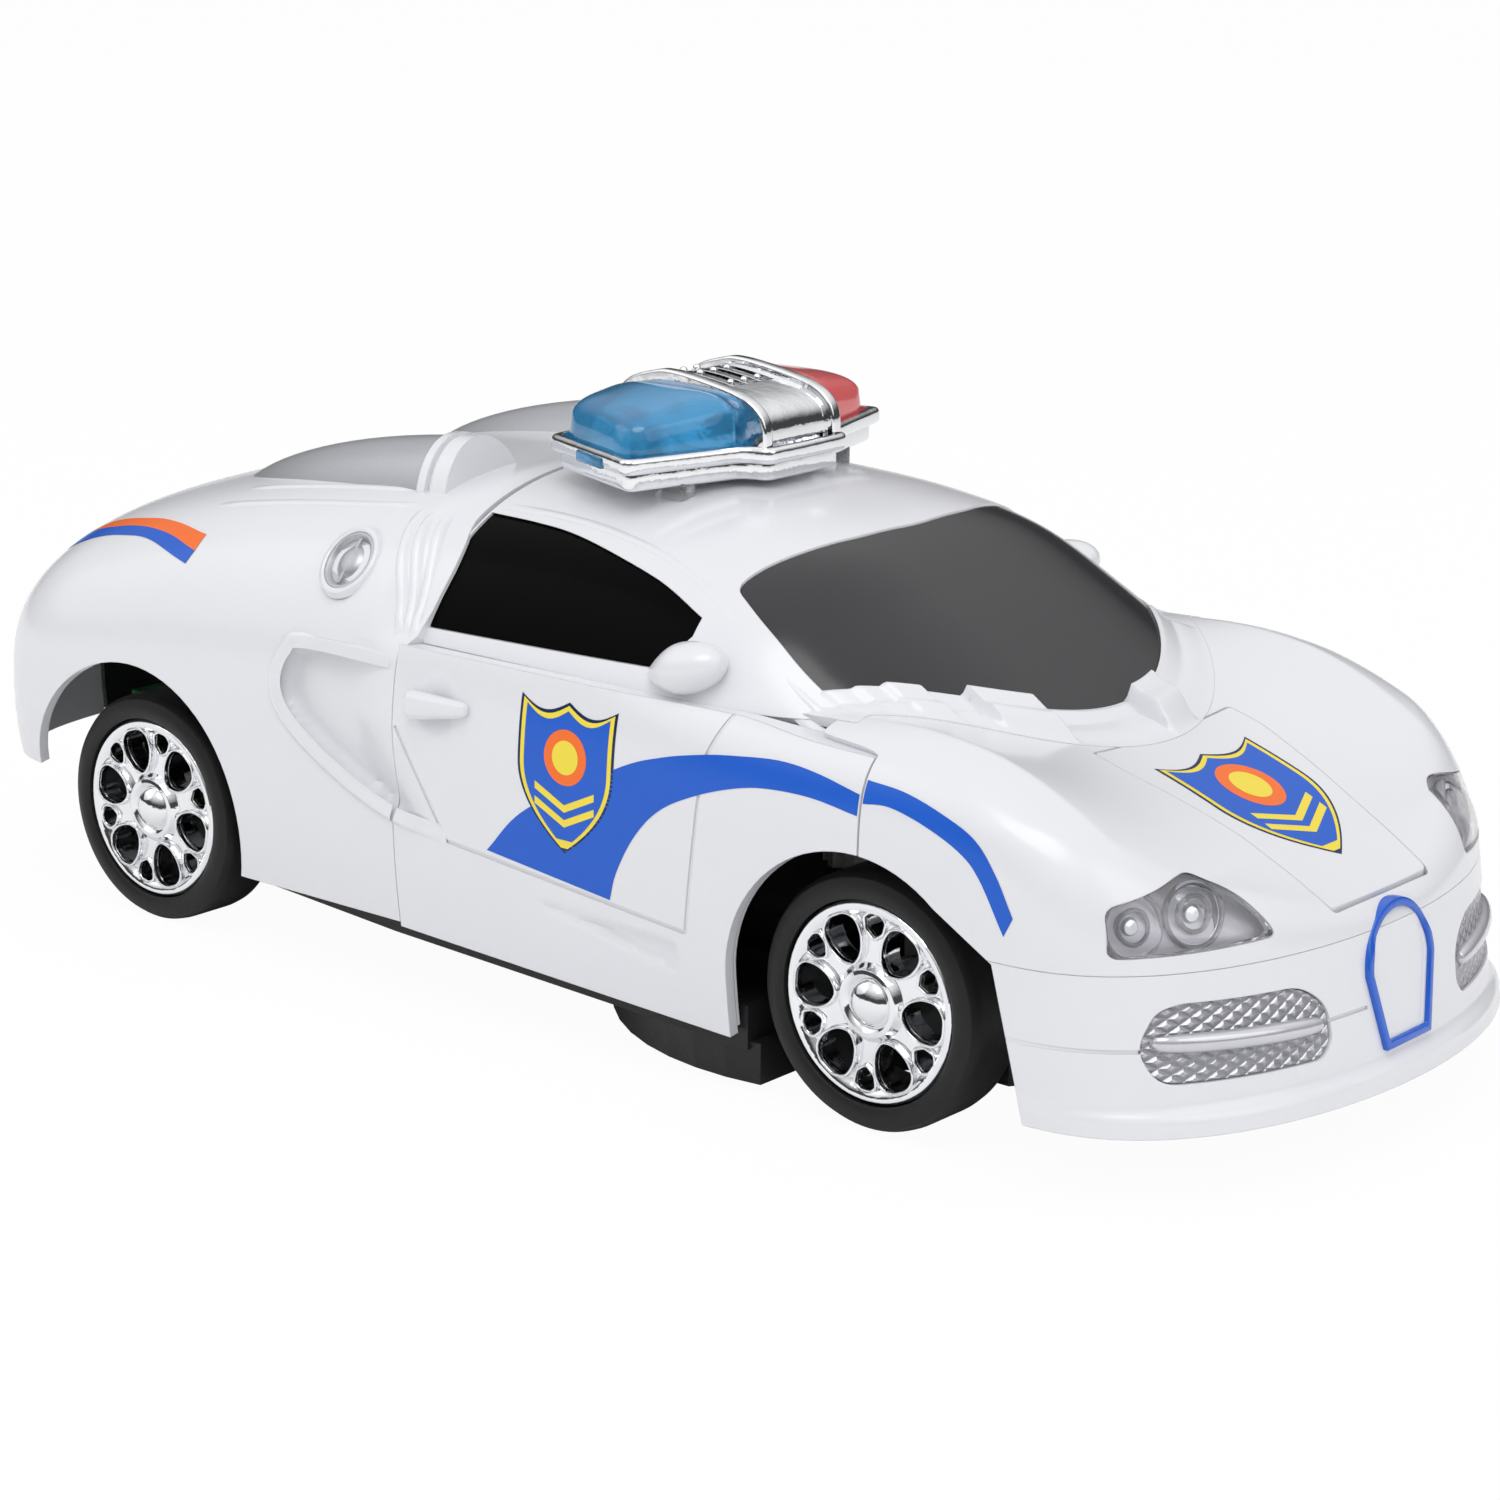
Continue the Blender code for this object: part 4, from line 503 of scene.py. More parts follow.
@dataclass(frozen=True)
class Finish:
    """One finish: its colour, gloss and relief."""

    name: str
    slot: Slot
    colour: Triple
    roughness: float
    metallic: float = 0.0
    coat: float = 0.0
    transmission: float = 0.0
    specular: float = 0.5
    texture: Texture = Texture.MOULDED
    tone: float = 0.03
    spread: float = 0.05
    grain: float = 0.04
    grain_scale: float = 450.0
    edge: float = 0.2
    broad_scale: float = 55.0
    relief: float = 0.6
    coat_roughness: float = 0.06
    diamond_pitch: float = 2.6
    diamond_slant: float = 1.5

    def build(self) -> Material:
        """Makes the finish's material."""
        material = bpy.data.materials.new(self.name)
        shader = Shader(material)
        place = shader.node("ShaderNodeTexCoord").outputs["Object"]
        broad = shader.noise(place, self.broad_scale)
        fine = shader.noise(place, self.grain_scale, 4.0)
        blend = fine * 0.7 + broad * 0.3 if self.texture is Texture.FLAKE else broad
        dark, pale = [
            [min(part * (1 + sign * self.tone), 1.0) for part in self.colour] + [1.0] for sign in (-1, 1)
        ]
        colour = shader.node("ShaderNodeMix", {"data_type": "RGBA"}, {0: blend, 6: dark, 7: pale}).outputs[2]
        soft = shader.node("ShaderNodeBevel", {"samples": 4}, {"Radius": self.edge * MM}).outputs[0]
        height = self.diamonds(shader, place) if self.texture is Texture.DIAMOND else fine
        bump = {"Strength": self.grain, "Distance": self.relief * MM, "Height": height, "Normal": soft}
        inputs = {
            "Base Color": colour,
            "Roughness": (broad - 0.5) * (2 * self.spread) + self.roughness,
            "Metallic": self.metallic,
            "Coat Weight": self.coat,
            "Coat Roughness": self.coat_roughness,
            "Transmission Weight": self.transmission,
            "Specular IOR Level": self.specular,
            "Normal": shader.node("ShaderNodeBump", None, bump).outputs[0],
        }
        for name, value in inputs.items():
            shader.feed(shader.tree.nodes["Principled BSDF"].inputs[name], value)
        return material

    def diamonds(self, shader: Shader, place: NodeSocket) -> Value:
        """Height of small raised diamonds in rows, seen from the front."""
        parts = shader.node("ShaderNodeSeparateXYZ", None, [place]).outputs
        across, up = Value(shader, parts["Y"]), Value(shader, parts["Z"])
        turns = math.pi / (self.diamond_pitch * MM)
        leaning = (across + up * self.diamond_slant, across - up * self.diamond_slant)
        first, second = ((line * turns).math("SINE").math("ABSOLUTE") for line in leaning)
        return first.math("MINIMUM", second)


WHITE = Finish("white_gloss_plastic", Slot.WHITE, (0.74, 0.745, 0.78), 0.22, coat=0.2, tone=0.012, grain=0.0)
BLACK = Finish(
    "black_moulded_plastic", Slot.BLACK, (0.014, 0.014, 0.015), 0.4, specular=0.3, tone=0.2, grain=0.12,
    grain_scale=1800,
)
SCREEN = Finish(
    "smoked_windscreen", Slot.GLAZING, (0.024, 0.024, 0.027), 0.14, specular=0.45, tone=0.1, grain=0.01
)
PANE = Finish(
    "black_side_window", Slot.GLAZING, (0.002, 0.002, 0.002), 0.2, specular=0.02, tone=0.12, grain=0.01
)
SILVER = Finish(
    "silver_paint_with_flake", Slot.SILVER, (0.45, 0.46, 0.49), 0.34, 0.55,
    texture=Texture.FLAKE, tone=0.1, grain_scale=2600,
)
CHROME = Finish(
    "plated_chrome", Slot.CHROME, (0.84, 0.85, 0.87), 0.06, 1.0, tone=0.03, spread=0.02, grain=0.22,
    grain_scale=260,
)
RUBBER = Finish("smooth_rubber", Slot.TYRE, (0.01, 0.01, 0.01), 0.45, specular=0.3, tone=0.25, grain=0.1)
BLUE_LENS = Finish(
    "clear_blue_lens", Slot.BLUE_LENS, (0.06, 0.37, 0.68), 0.08, coat=0.2, transmission=0.6, grain=0.03
)
RED_LENS = Finish(
    "clear_red_lens", Slot.RED_LENS, (0.97, 0.2, 0.21), 0.08, coat=0.2, transmission=0.4, grain=0.03
)
CLEAR = Finish("clear_lamp_plastic", Slot.CLEAR, (0.9, 0.9, 0.92), 0.05, transmission=0.95, grain=0.02)
DIAMOND = Finish(
    "diamond_lamp_plastic", Slot.CLEAR, (0.5, 0.5, 0.54), 0.14, 0.35,
    transmission=0.1, texture=Texture.DIAMOND, grain=1.0,
)
LAMP_TRIM = Finish("lamp_ring", Slot.CLEAR, (0.3, 0.3, 0.34), 0.2, 0.5, tone=0.1)
LAMP_BAR = Finish("lamp_bar", Slot.CLEAR, (0.62, 0.62, 0.66), 0.1, 0.5, tone=0.1)
HOUSING = Finish("lamp_housing", Slot.CLEAR, (0.76, 0.75, 0.81), 0.2, 0.1, coat=0.3, tone=0.06)
BLUE = Finish("blue_paint", Slot.BLUE, (0.008, 0.1, 0.55), 0.22, coat=0.3, tone=0.15)
ROYAL = Finish("blue_decal", Slot.BLUE, (0.012, 0.105, 0.56), 0.25, specular=0.3, tone=0.06, grain=0.02)
ORANGE = Finish("orange_decal", Slot.CELL, (0.88, 0.16, 0.02), 0.25, specular=0.3, tone=0.06, grain=0.02)
YELLOW = Finish("yellow_decal", Slot.CELL, (0.85, 0.68, 0.06), 0.25, specular=0.3, tone=0.05, grain=0.02)
NAVY = Finish("navy_decal", Slot.BLUE, (0.004, 0.02, 0.08), 0.25, specular=0.3, tone=0.1, grain=0.02)
ROBOT = Finish(
    "grey_robot_plastic", Slot.ROBOT, (0.3, 0.32, 0.36), 0.35, tone=0.08, grain=0.08, grain_scale=1500
)
STEEL = Finish("turned_steel", Slot.STEEL, (0.6, 0.6, 0.62), 0.26, 1.0, tone=0.08, grain=0.06)
BOARD = Finish("green_board", Slot.BOARD, (0.02, 0.2, 0.06), 0.4, tone=0.3, grain=0.1, grain_scale=900)
CELL = Finish("cell_wrapper", Slot.CELL, (0.7, 0.4, 0.08), 0.3, 0.4, tone=0.1, grain=0.03)
GEAR = Finish("gear_plastic", Slot.GEAR, (0.78, 0.76, 0.68), 0.42, tone=0.05, grain=0.06)

PLAIN_FINISHES = (
    WHITE, BLACK, PANE, SILVER, CHROME, RUBBER, BLUE_LENS, RED_LENS, CLEAR, BLUE, ROBOT, STEEL, BOARD,
    CELL, GEAR,
)
CAD_FINISHES: dict[Slot, Finish] = {finish.slot: finish for finish in PLAIN_FINISHES}


class Workshop:
    """Makes objects from forms, cuts them and hands them to the frame."""

    def __init__(self) -> None:
        """Starts with no materials made."""
        self.materials: dict[str, Material] = {}

    def material(self, finish: Finish) -> Material:
        """The finish's material, made once."""
        if finish.name not in self.materials:
            self.materials[finish.name] = finish.build()
        return self.materials[finish.name]

    def blank(self, name: str, bm: Form) -> Object:
        """An object in the frame's metres from a form in the car's millimetres."""
        bmesh.ops.translate(bm, vec=(-CENTRE_X, 0, 0), verts=bm.verts[:])
        bmesh.ops.scale(bm, vec=(MM, MM, MM), verts=bm.verts[:])
        return placed(name, bm)

    def sheet(self, name: str, point: Point, grid: Grid, wall: float, sunk: float = 0.0) -> Object:
        """A shell laid under a surface.

        Args:
            name: The object's name.
            point: The surface, as a function of two shares.
            grid: Facets along and across.
            wall: The shell's thickness.
            sunk: How far below the surface it starts.

        Returns:
            The shell, with its wall made.
        """
        made = self.blank(name, surface(point, *grid))
        step = made.modifiers.new("wall", "SOLIDIFY")
        step.thickness = wall * MM
        step.offset = -1 - 2 * sunk / wall
        step.use_quality_normals = True
        self.apply(made)
        return made

    def apply(self, made: Object) -> None:
        """Turns an object's modifiers into its mesh."""
        bpy.context.view_layer.update()
        graph = bpy.context.evaluated_depsgraph_get()
        mesh = bpy.data.meshes.new_from_object(made.evaluated_get(graph))
        old = made.data
        made.modifiers.clear()
        made.data = mesh
        bpy.data.meshes.remove(old)
        mesh.name = made.name

    def carve(self, made: Object, tool: Object, operation: str = "DIFFERENCE") -> None:
        """Works a Boolean on an object with another one, which is used up."""
        step = made.modifiers.new("cut", "BOOLEAN")
        step.operation = operation
        step.solver = "EXACT"
        step.use_self = operation == "UNION"
        step.object = tool
        self.apply(made)
        bpy.data.meshes.remove(tool.data)

    def cut(self, made: Object, bm: Form, operation: str = "DIFFERENCE") -> None:
        """Cuts a form from an object, or keeps or adds it."""
        self.carve(made, self.blank("tool", bm), operation)

    def pane(self, name: str, point: Point, grid: Grid, wall: Pair, keep: Form) -> Object:
        """The part of a shell that lies inside a form.

        Args:
            name: The object's name.
            point: The surface that the shell lies under.
            grid: Facets along and across.
            wall: The shell's thickness, and how far below the surface it starts.
            keep: The form.

        Returns:
            The part.
        """
        made = self.sheet(name, point, grid, *wall)
        self.cut(made, keep, "INTERSECT")
        return made

    def finish(
        self, made: Object, finish: Finish, body: str, node: str = "", angle: float = 35.0
    ) -> Object:
        """Gives a piece its finish and its place in the frame.

        Args:
            made: The piece.
            finish: Its finish.
            body: The body that it rides on.
            node: The node that it stands for.
            angle: Edges sharper than this many degrees stay sharp.

        Returns:
            The piece.
        """
        made.data.materials.clear()
        made.data.materials.append(self.material(finish))
        made.data.shade_smooth()
        made.data.set_sharp_from_angle(angle=math.radians(angle))
        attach(made, body)
        if node:
            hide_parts(node)
        LOG.info("%s rides on %s with %d faces", made.name, body, len(made.data.polygons))
        return made

    def add(
        self, name: str, bm: Form, finish: Finish, body: str, node: str = "", angle: float = 35.0
    ) -> Object:
        """A finished piece straight from a form."""
        return self.finish(self.blank(name, bm), finish, body, node, angle)

    def twin(
        self, made: Object, name: str, finish: Finish, body: str, node: str = "", angle: float = 35.0
    ) -> Object:
        """The right side's copy of a left piece."""
        bm = bmesh.new()
        bm.from_mesh(made.data)
        bmesh.ops.scale(bm, vec=(1, -1, 1), verts=bm.verts[:])
        bmesh.ops.reverse_faces(bm, faces=bm.faces[:])
        return self.finish(placed(name, bm), finish, body, node, angle)

    def both(self, made: Object, finish: Finish, body: str, node: str = "", angle: float = 35.0) -> None:
        """Finishes a left piece and makes its twin on the right.

        Args:
            made: The left piece.
            finish: The finish of both.
            body: The left body that it rides on.
            node: The left node that it stands for.
            angle: Edges sharper than this many degrees stay sharp.
        """
        left, right = Side.LEFT.word, Side.RIGHT.word
        self.finish(made, finish, body, node, angle)
        names = [name.replace(left, right) for name in (made.name, body, node)]
        self.twin(made, names[0], finish, *names[1:], angle)

    def add_both(
        self, name: str, bm: Form, finish: Finish, body: str, node: str = "", angle: float = 35.0
    ) -> None:
        """A left piece straight from a form, and its twin on the right."""
        self.both(self.blank(name, bm), finish, body, node, angle)


@dataclass(frozen=True)
class BodyForm:
    """The body's surfaces, as functions of places on the car."""

    wall: float = 1.6
    lining: Pair = (0.5, 1.75)
    half_width: float = 47.5
    waist: float = 30.0
    lamp_line: float = 29.0
    seam: float = 0.05
    tail_start: float = -78.0
    tail_end: float = -108.5
    tail_power: float = 3.5
    tail_angle: float = math.radians(12.7)
    tail_bottom: float = 20.5
    rear_bottom: float = 11.8
    rear_power: float = 3.2
    rear_seam: float = -13.32
    rear_axle: float = -68.0
    front_axle: float = 68.0
    axle_height: float = 17.24
    arch_radius: float = 21.0
    arch_front: Line = ((90.0, 28.6), (95.4, 8.6), (97.5, -5.0))
    pillar_start: float = -20.0
    pillar_run: float = 7.0
    pillar_rise: Pair = (0.45, 0.65)
    cabin_rear: float = -12.3
    cabin_half: float = 46.0
    cabin_power: float = 2.75
    sill: float = 51.78
    cowl_x: float = 80.5
    cowl_corner: Pair = (58.5, 36.0)
    fender_seam: Pair = (41.6, 43.8)
    front_seam: float = 69.1
    turn_start: float = 20.0
    sweep: float = 3.5
    crest_y: float = 37.0
    crest_power: float = 2.6
    fender_power: float = 6.0
    nose_x: float = 120.4
    nose_depth: float = 30.0
    nose_fullness: float = 0.4
    nose_round: Pair = (2.5, 11.0)
    nose_power: float = 2.4
    bumper_lean: float = 0.15
    bumper_mid: float = 18.0
    bumper_bottom: float = 9.0
    lip_top: float = 12.6
    lip_depth: float = 1.4
    lip_round: float = 1.6
    side_tuck: float = 1.2
    panel_x: Pair = (-13.2, 68.8)
    deck: Line = ((-112, 46), (-96, 56), (-80, 62), (-60, 67), (-40, 70), (-16, 71.9))
    roof: Line = (
        (-20, 71.8), (0, 72.6), (15, 72.6), (30, 71.5), (43, 68.8), (55, 62.6), (67, 55), (84, 43.4)
    )
    hood: Line = ((55, 53), (80, 47.4), (90, 44.6), (100, 41.0), (108, 37.2), (116, 32.4), (119.5, 30.2))
    crest: Line = (
        (55, 53.5), (70, 54.2), (80, 53.2), (87, 51.2), (94, 48), (100, 44.4), (104, 41.5), (107, 39)
    )
    panel_top: Line = ((-17, 51.7), (45, 51.7), (58, 50.6), (70, 50.2))
    panel_bottom: Line = ((-17, 11.3), (48, 8.6))
    scoop: Line = (
        (-10.0, 50.4), (-32.2, 50.4), (-36.2, 48.2), (-38.0, 43.9), (-37.2, 39.9), (-33.9, 36.3),
        (-27.4, 32.3), (-20.2, 29.0), (-13.3, 26.7), (-2.9, 25.9),
    )
    door_edge: Line = ((-2.9, 25.9), (-12.7, 40.5))
    scoop_run: float = 14.0
    scoop_depth: float = 2.6
    scoop_edge: float = 3.0
    rear_end: Line = (
        (51.74, -13.32), (51.9, -11.6), (54.0, -11.1), (61.6, -10.4), (65.0, -11.2), (67.6, -12.8),
        (72.0, -12.8),
    )

    def scoop_fade(self, x: float, z: float) -> float:
        """How far the hollow behind the door has come up to the door's edge: 1 is its full depth."""
        (low_x, low_z), (high_x, high_z) = self.door_edge
        door_x = mix(low_x, high_x, min((z - low_z) / (high_z - low_z), 1.0))
        return 1 - ease((x - door_x) / self.scoop_run + 1)

    def scoop_at(self, x: float, z: float) -> float:
        """Depth of the hollow behind the door at a place seen from the side."""
        if not inside(self.scoop, x, z):
            return 0.0
        share = ease(edge_distance(self.scoop, x, z) / self.scoop_edge)
        return self.scoop_depth * share * self.scoop_fade(x, z)

    def rear_section(self, x: float, rise: float) -> Triple:
        """Size of the rear shell's section, which meets the cabin's at the pillar.

        Args:
            x: Place along the car.
            rise: Height over the waist as a share of the section's.

        Returns:
            The half width, the top's height and the power of the section's curve.
        """
        back = min(max((x - self.tail_start) / (self.tail_end - self.tail_start), 0.0), 1.0)
        shrink = max(1 - back**self.tail_power, 0.0) ** (1 / self.tail_power)
        low, high = self.pillar_rise
        share = ease((x - self.pillar_start) / self.pillar_run) * ease((rise - low) / (high - low))
        width = mix(self.half_width, self.cabin_half + 0.3, share) * shrink
        top = mix(curve(self.deck, x), curve(self.roof, x) + 0.25, share)
        return width, mix(self.waist, top, shrink), mix(self.rear_power, self.cabin_power, share)

    def rear_y(self, x: float, z: float) -> float:
        """Half width of the rear shell at a place seen from the side."""
        rise = (z - self.waist) / (curve(self.deck, x) - self.waist)
        width, top, power = self.rear_section(x, rise)
        return width * crown((z - self.waist) / max(top - self.waist, 0.1), 1.0, power)

    def rear_z(self, x: float, y: float) -> float:
        """Height of the rear deck at a place seen from above."""
        width, top, power = self.rear_section(x, 1.0)
        return mix(self.waist, top, crown(y, width, power))

    def rear(self, u: float, v: float) -> Vector:
        """Rear shell: u runs from the tail to the roof seam, v from the right edge to the left."""
        tail_share, round_share = 0.4, 0.8
        side, across = halved(v)
        turn = math.pi / 2 * min(across / round_share, 1.0)
        rise = math.cos(turn) / bulge(turn, self.rear_power)
        if u < tail_share:
            angle = mix(self.tail_angle, math.pi / 2, u / tail_share)
            x = mix(self.tail_start, self.tail_end, abs(math.cos(angle)) ** (2 / self.tail_power))
        else:
            height = mix(self.waist, curve(self.deck, self.rear_seam), rise)
            x = mix(self.tail_start, curve(self.rear_end, height), (u - tail_share) / (1 - tail_share))
        width, top, power = self.rear_section(x, rise)
        size = bulge(turn, power)
        y, z = width * math.sin(turn) / size, mix(self.waist, top, math.cos(turn) / size)
        if across > round_share:
            drop = (across - round_share) / (1 - round_share)
            bottom = mix(self.rear_bottom, self.tail_bottom, ease((self.rear_axle - x) / 20 + 0.5))
            y = width * (1 - self.side_tuck / self.half_width * drop * drop)
            z = mix(self.waist, bottom, drop)
        return Vector((x, side * (y - self.scoop_at(x, z)), z))

    def hood_rear(self, y: float) -> float:
        """Rear edge of the hood: the cowl's arc, the fender's corner, then the front seam."""
        corner_x, corner_y = self.cowl_corner
        if abs(y) < corner_y:
            return mix(self.cowl_x, corner_x, (y / corner_y) ** 2)
        inner, outer = self.fender_seam
        return mix(corner_x, self.front_seam, ease((abs(y) - inner) / (outer - inner)))

    def cabin(self, u: float, v: float) -> Vector:
        """Cabin shell: u runs from the roof seam to the cowl, v from the right sill to the left."""
        side, across = halved(v)
        station = mix(self.cabin_rear, self.cowl_corner[0] + self.sweep, u)
        share = (self.sill - self.waist) / (curve(self.roof, station) - self.waist)
        y = self.cabin_half * crown(share, 1.0, self.cabin_power) * math.sin(math.pi / 2 * across) ** 0.8
        swept = self.sweep * (y / self.cowl_corner[1]) ** 2
        front = min(self.hood_rear(y), self.cowl_x) if y < self.cowl_corner[1] else self.cowl_corner[0]
        station = mix(self.cabin_rear, front - self.seam + swept, u)
        z = mix(self.waist, curve(self.roof, station), crown(y, self.cabin_half, self.cabin_power))
        return Vector((station - swept * u * u, side * y, z))

    def plan(self, y: float) -> float:
        """Front outline of the car seen from above, at the middle of the bumper."""
        fullness = max(1 - (y / self.half_width) ** 2, 0.0) ** self.nose_fullness
        return self.nose_x - self.nose_depth * (1 - fullness)

    def hood_front(self, y: float) -> float:
        """Front edge of the hood."""
        return self.plan(y) - self.bumper_lean * (self.lamp_line - self.bumper_mid)

    def hood_z(self, x: float, y: float) -> float:
        """Height of the hood, which rounds down to the bumper over its last stretch."""
        blend = min(abs(y) / self.crest_y, 1.0)
        top = mix(curve(self.hood, x), curve(self.crest, x), blend**self.crest_power)
        reach = mix(*self.nose_round, blend**2)
        behind = min(max(1 - (self.hood_front(y) - x) / reach, 0.0), 1.0)
        share = crown(y, self.half_width, self.fender_power) * crown(behind, 1.0, self.nose_power)
        return mix(self.lamp_line, top, share)

    def hood_point(self, u: float, v: float) -> Vector:
        """Hood and fenders: u runs from the cowl to the bumper, v from the right side to the left."""
        side, across = halved(v)
        y = self.half_width * math.sin(math.pi / 2 * across) ** 0.75
        x = mix(self.hood_rear(y), self.hood_front(y), u**0.75)
        return Vector((x, side * y, self.hood_z(x, y)))

    def fender_y(self, x: float, z: float) -> float:
        """Half width of the fender at a place seen from the side."""
        low, high = self.crest_y, self.half_width
        for _ in range(30):
            middle = (low + high) / 2
            low, high = (middle, high) if self.hood_z(x, middle) > z else (low, middle)
        return low

    def bumper_x(self, y: float, z: float) -> float:
        """Front face of the bumper."""
        lip = self.lip_depth * ease((self.lip_top - z) / self.lip_round)
        return self.plan(y) - self.bumper_lean * (z - self.bumper_mid) + lip

    def bumper(self, u: float, v: float) -> Vector:
        """Bumper: u runs from its top edge down to the lip, v from the right end to the left."""
        side, across = halved(v)
        y = self.half_width * math.sin(math.pi / 2 * across) ** (1 / 1.3)
        z = mix(self.lamp_line - self.seam, self.bumper_bottom, u)
        return Vector((self.bumper_x(y, z), side * y, z))

    def cabin_z(self, x: float, y: float) -> float:
        """Height of the cabin at a place seen from above."""
        swept = self.sweep * (y / self.cowl_corner[1]) ** 2
        return mix(self.waist, curve(self.roof, x + swept), crown(y, self.cabin_half, self.cabin_power))

    def panel_y(self, x: float, z: float) -> float:
        """Outer face of the side panel, turning from the cabin's round side to the fender's."""
        rear = front = self.half_width
        if z > self.waist:
            deck = curve(self.deck, self.rear_seam)
            rear *= crown((z - self.waist) / (deck - self.waist), 1.0, self.rear_power)
            crest = curve(self.crest, self.front_seam)
            front *= crown((z - self.lamp_line) / (crest - self.lamp_line), 1.0, self.fender_power)
        tuck = self.side_tuck * max((self.waist - z) / (self.waist - self.rear_bottom), 0.0) ** 2
        return mix(rear, front, ease((x - self.turn_start) / (self.front_seam - self.turn_start))) - tuck

    def panel(self, u: float, v: float) -> Vector:
        """Left side panel without its relief: u runs to the nose and v down."""
        x = mix(*self.panel_x, u)
        z = mix(curve(self.panel_top, x), curve(self.panel_bottom, x), v)
        return Vector((x, self.panel_y(x, z), z))

    def arch(self) -> list[Pair]:
        """Front wheel opening seen from the side."""
        stop, steps, radius = math.radians(52), 28, self.arch_radius
        angles = [mix(math.pi, stop, step / steps) for step in range(steps + 1)]
        x, z = self.front_axle, self.axle_height
        arc = [(x + radius * math.cos(angle), z + radius * math.sin(angle)) for angle in angles]
        return [(x - radius, -5.0), *arc, *self.arch_front]


BODY = BodyForm()


def strip(low: Line, high: Line, lift: Point) -> Point:
    """A ruled band between two lines.

    Args:
        low: The lower line, in two coordinates.
        high: The upper line.
        lift: Sets a place of those coordinates on the car.

    Returns:
        The band as a surface.
    """

    def point(u: float, v: float) -> Vector:
        """A place on the band."""
        a, b = along(low, u), along(high, u)
        place = a.lerp(b, v)
        return lift(place.x, place.y)

    return point


def groove(line: Line, width: float, lift: Point) -> Point:
    """A narrow band that follows a line."""

    def point(u: float, v: float) -> Vector:
        """A place on the band."""
        place = beside(line, u, width * (v - 0.5), 0.01)
        return lift(place.x, place.y)

    return point


def rib(line: Line, width: float, high: float, face: Point) -> Point:
    """A round-backed band.

    Args:
        line: Its run.
        width: Its width.
        high: Its height over the body.
        face: Sets a place of the run, and a height, on the body.

    Returns:
        The band's surface.
    """

    def point(u: float, v: float) -> Vector:
        """A place on the rib's back."""
        place = beside(line, u, width * (v - 0.5))
        swell = high * (1 - (2 * v - 1) ** 2) * min(8 * u, 8 * (1 - u), 1) - 0.05
        return face(place.x, place.y) + Vector((0, swell, 0.7 * swell))

    return point


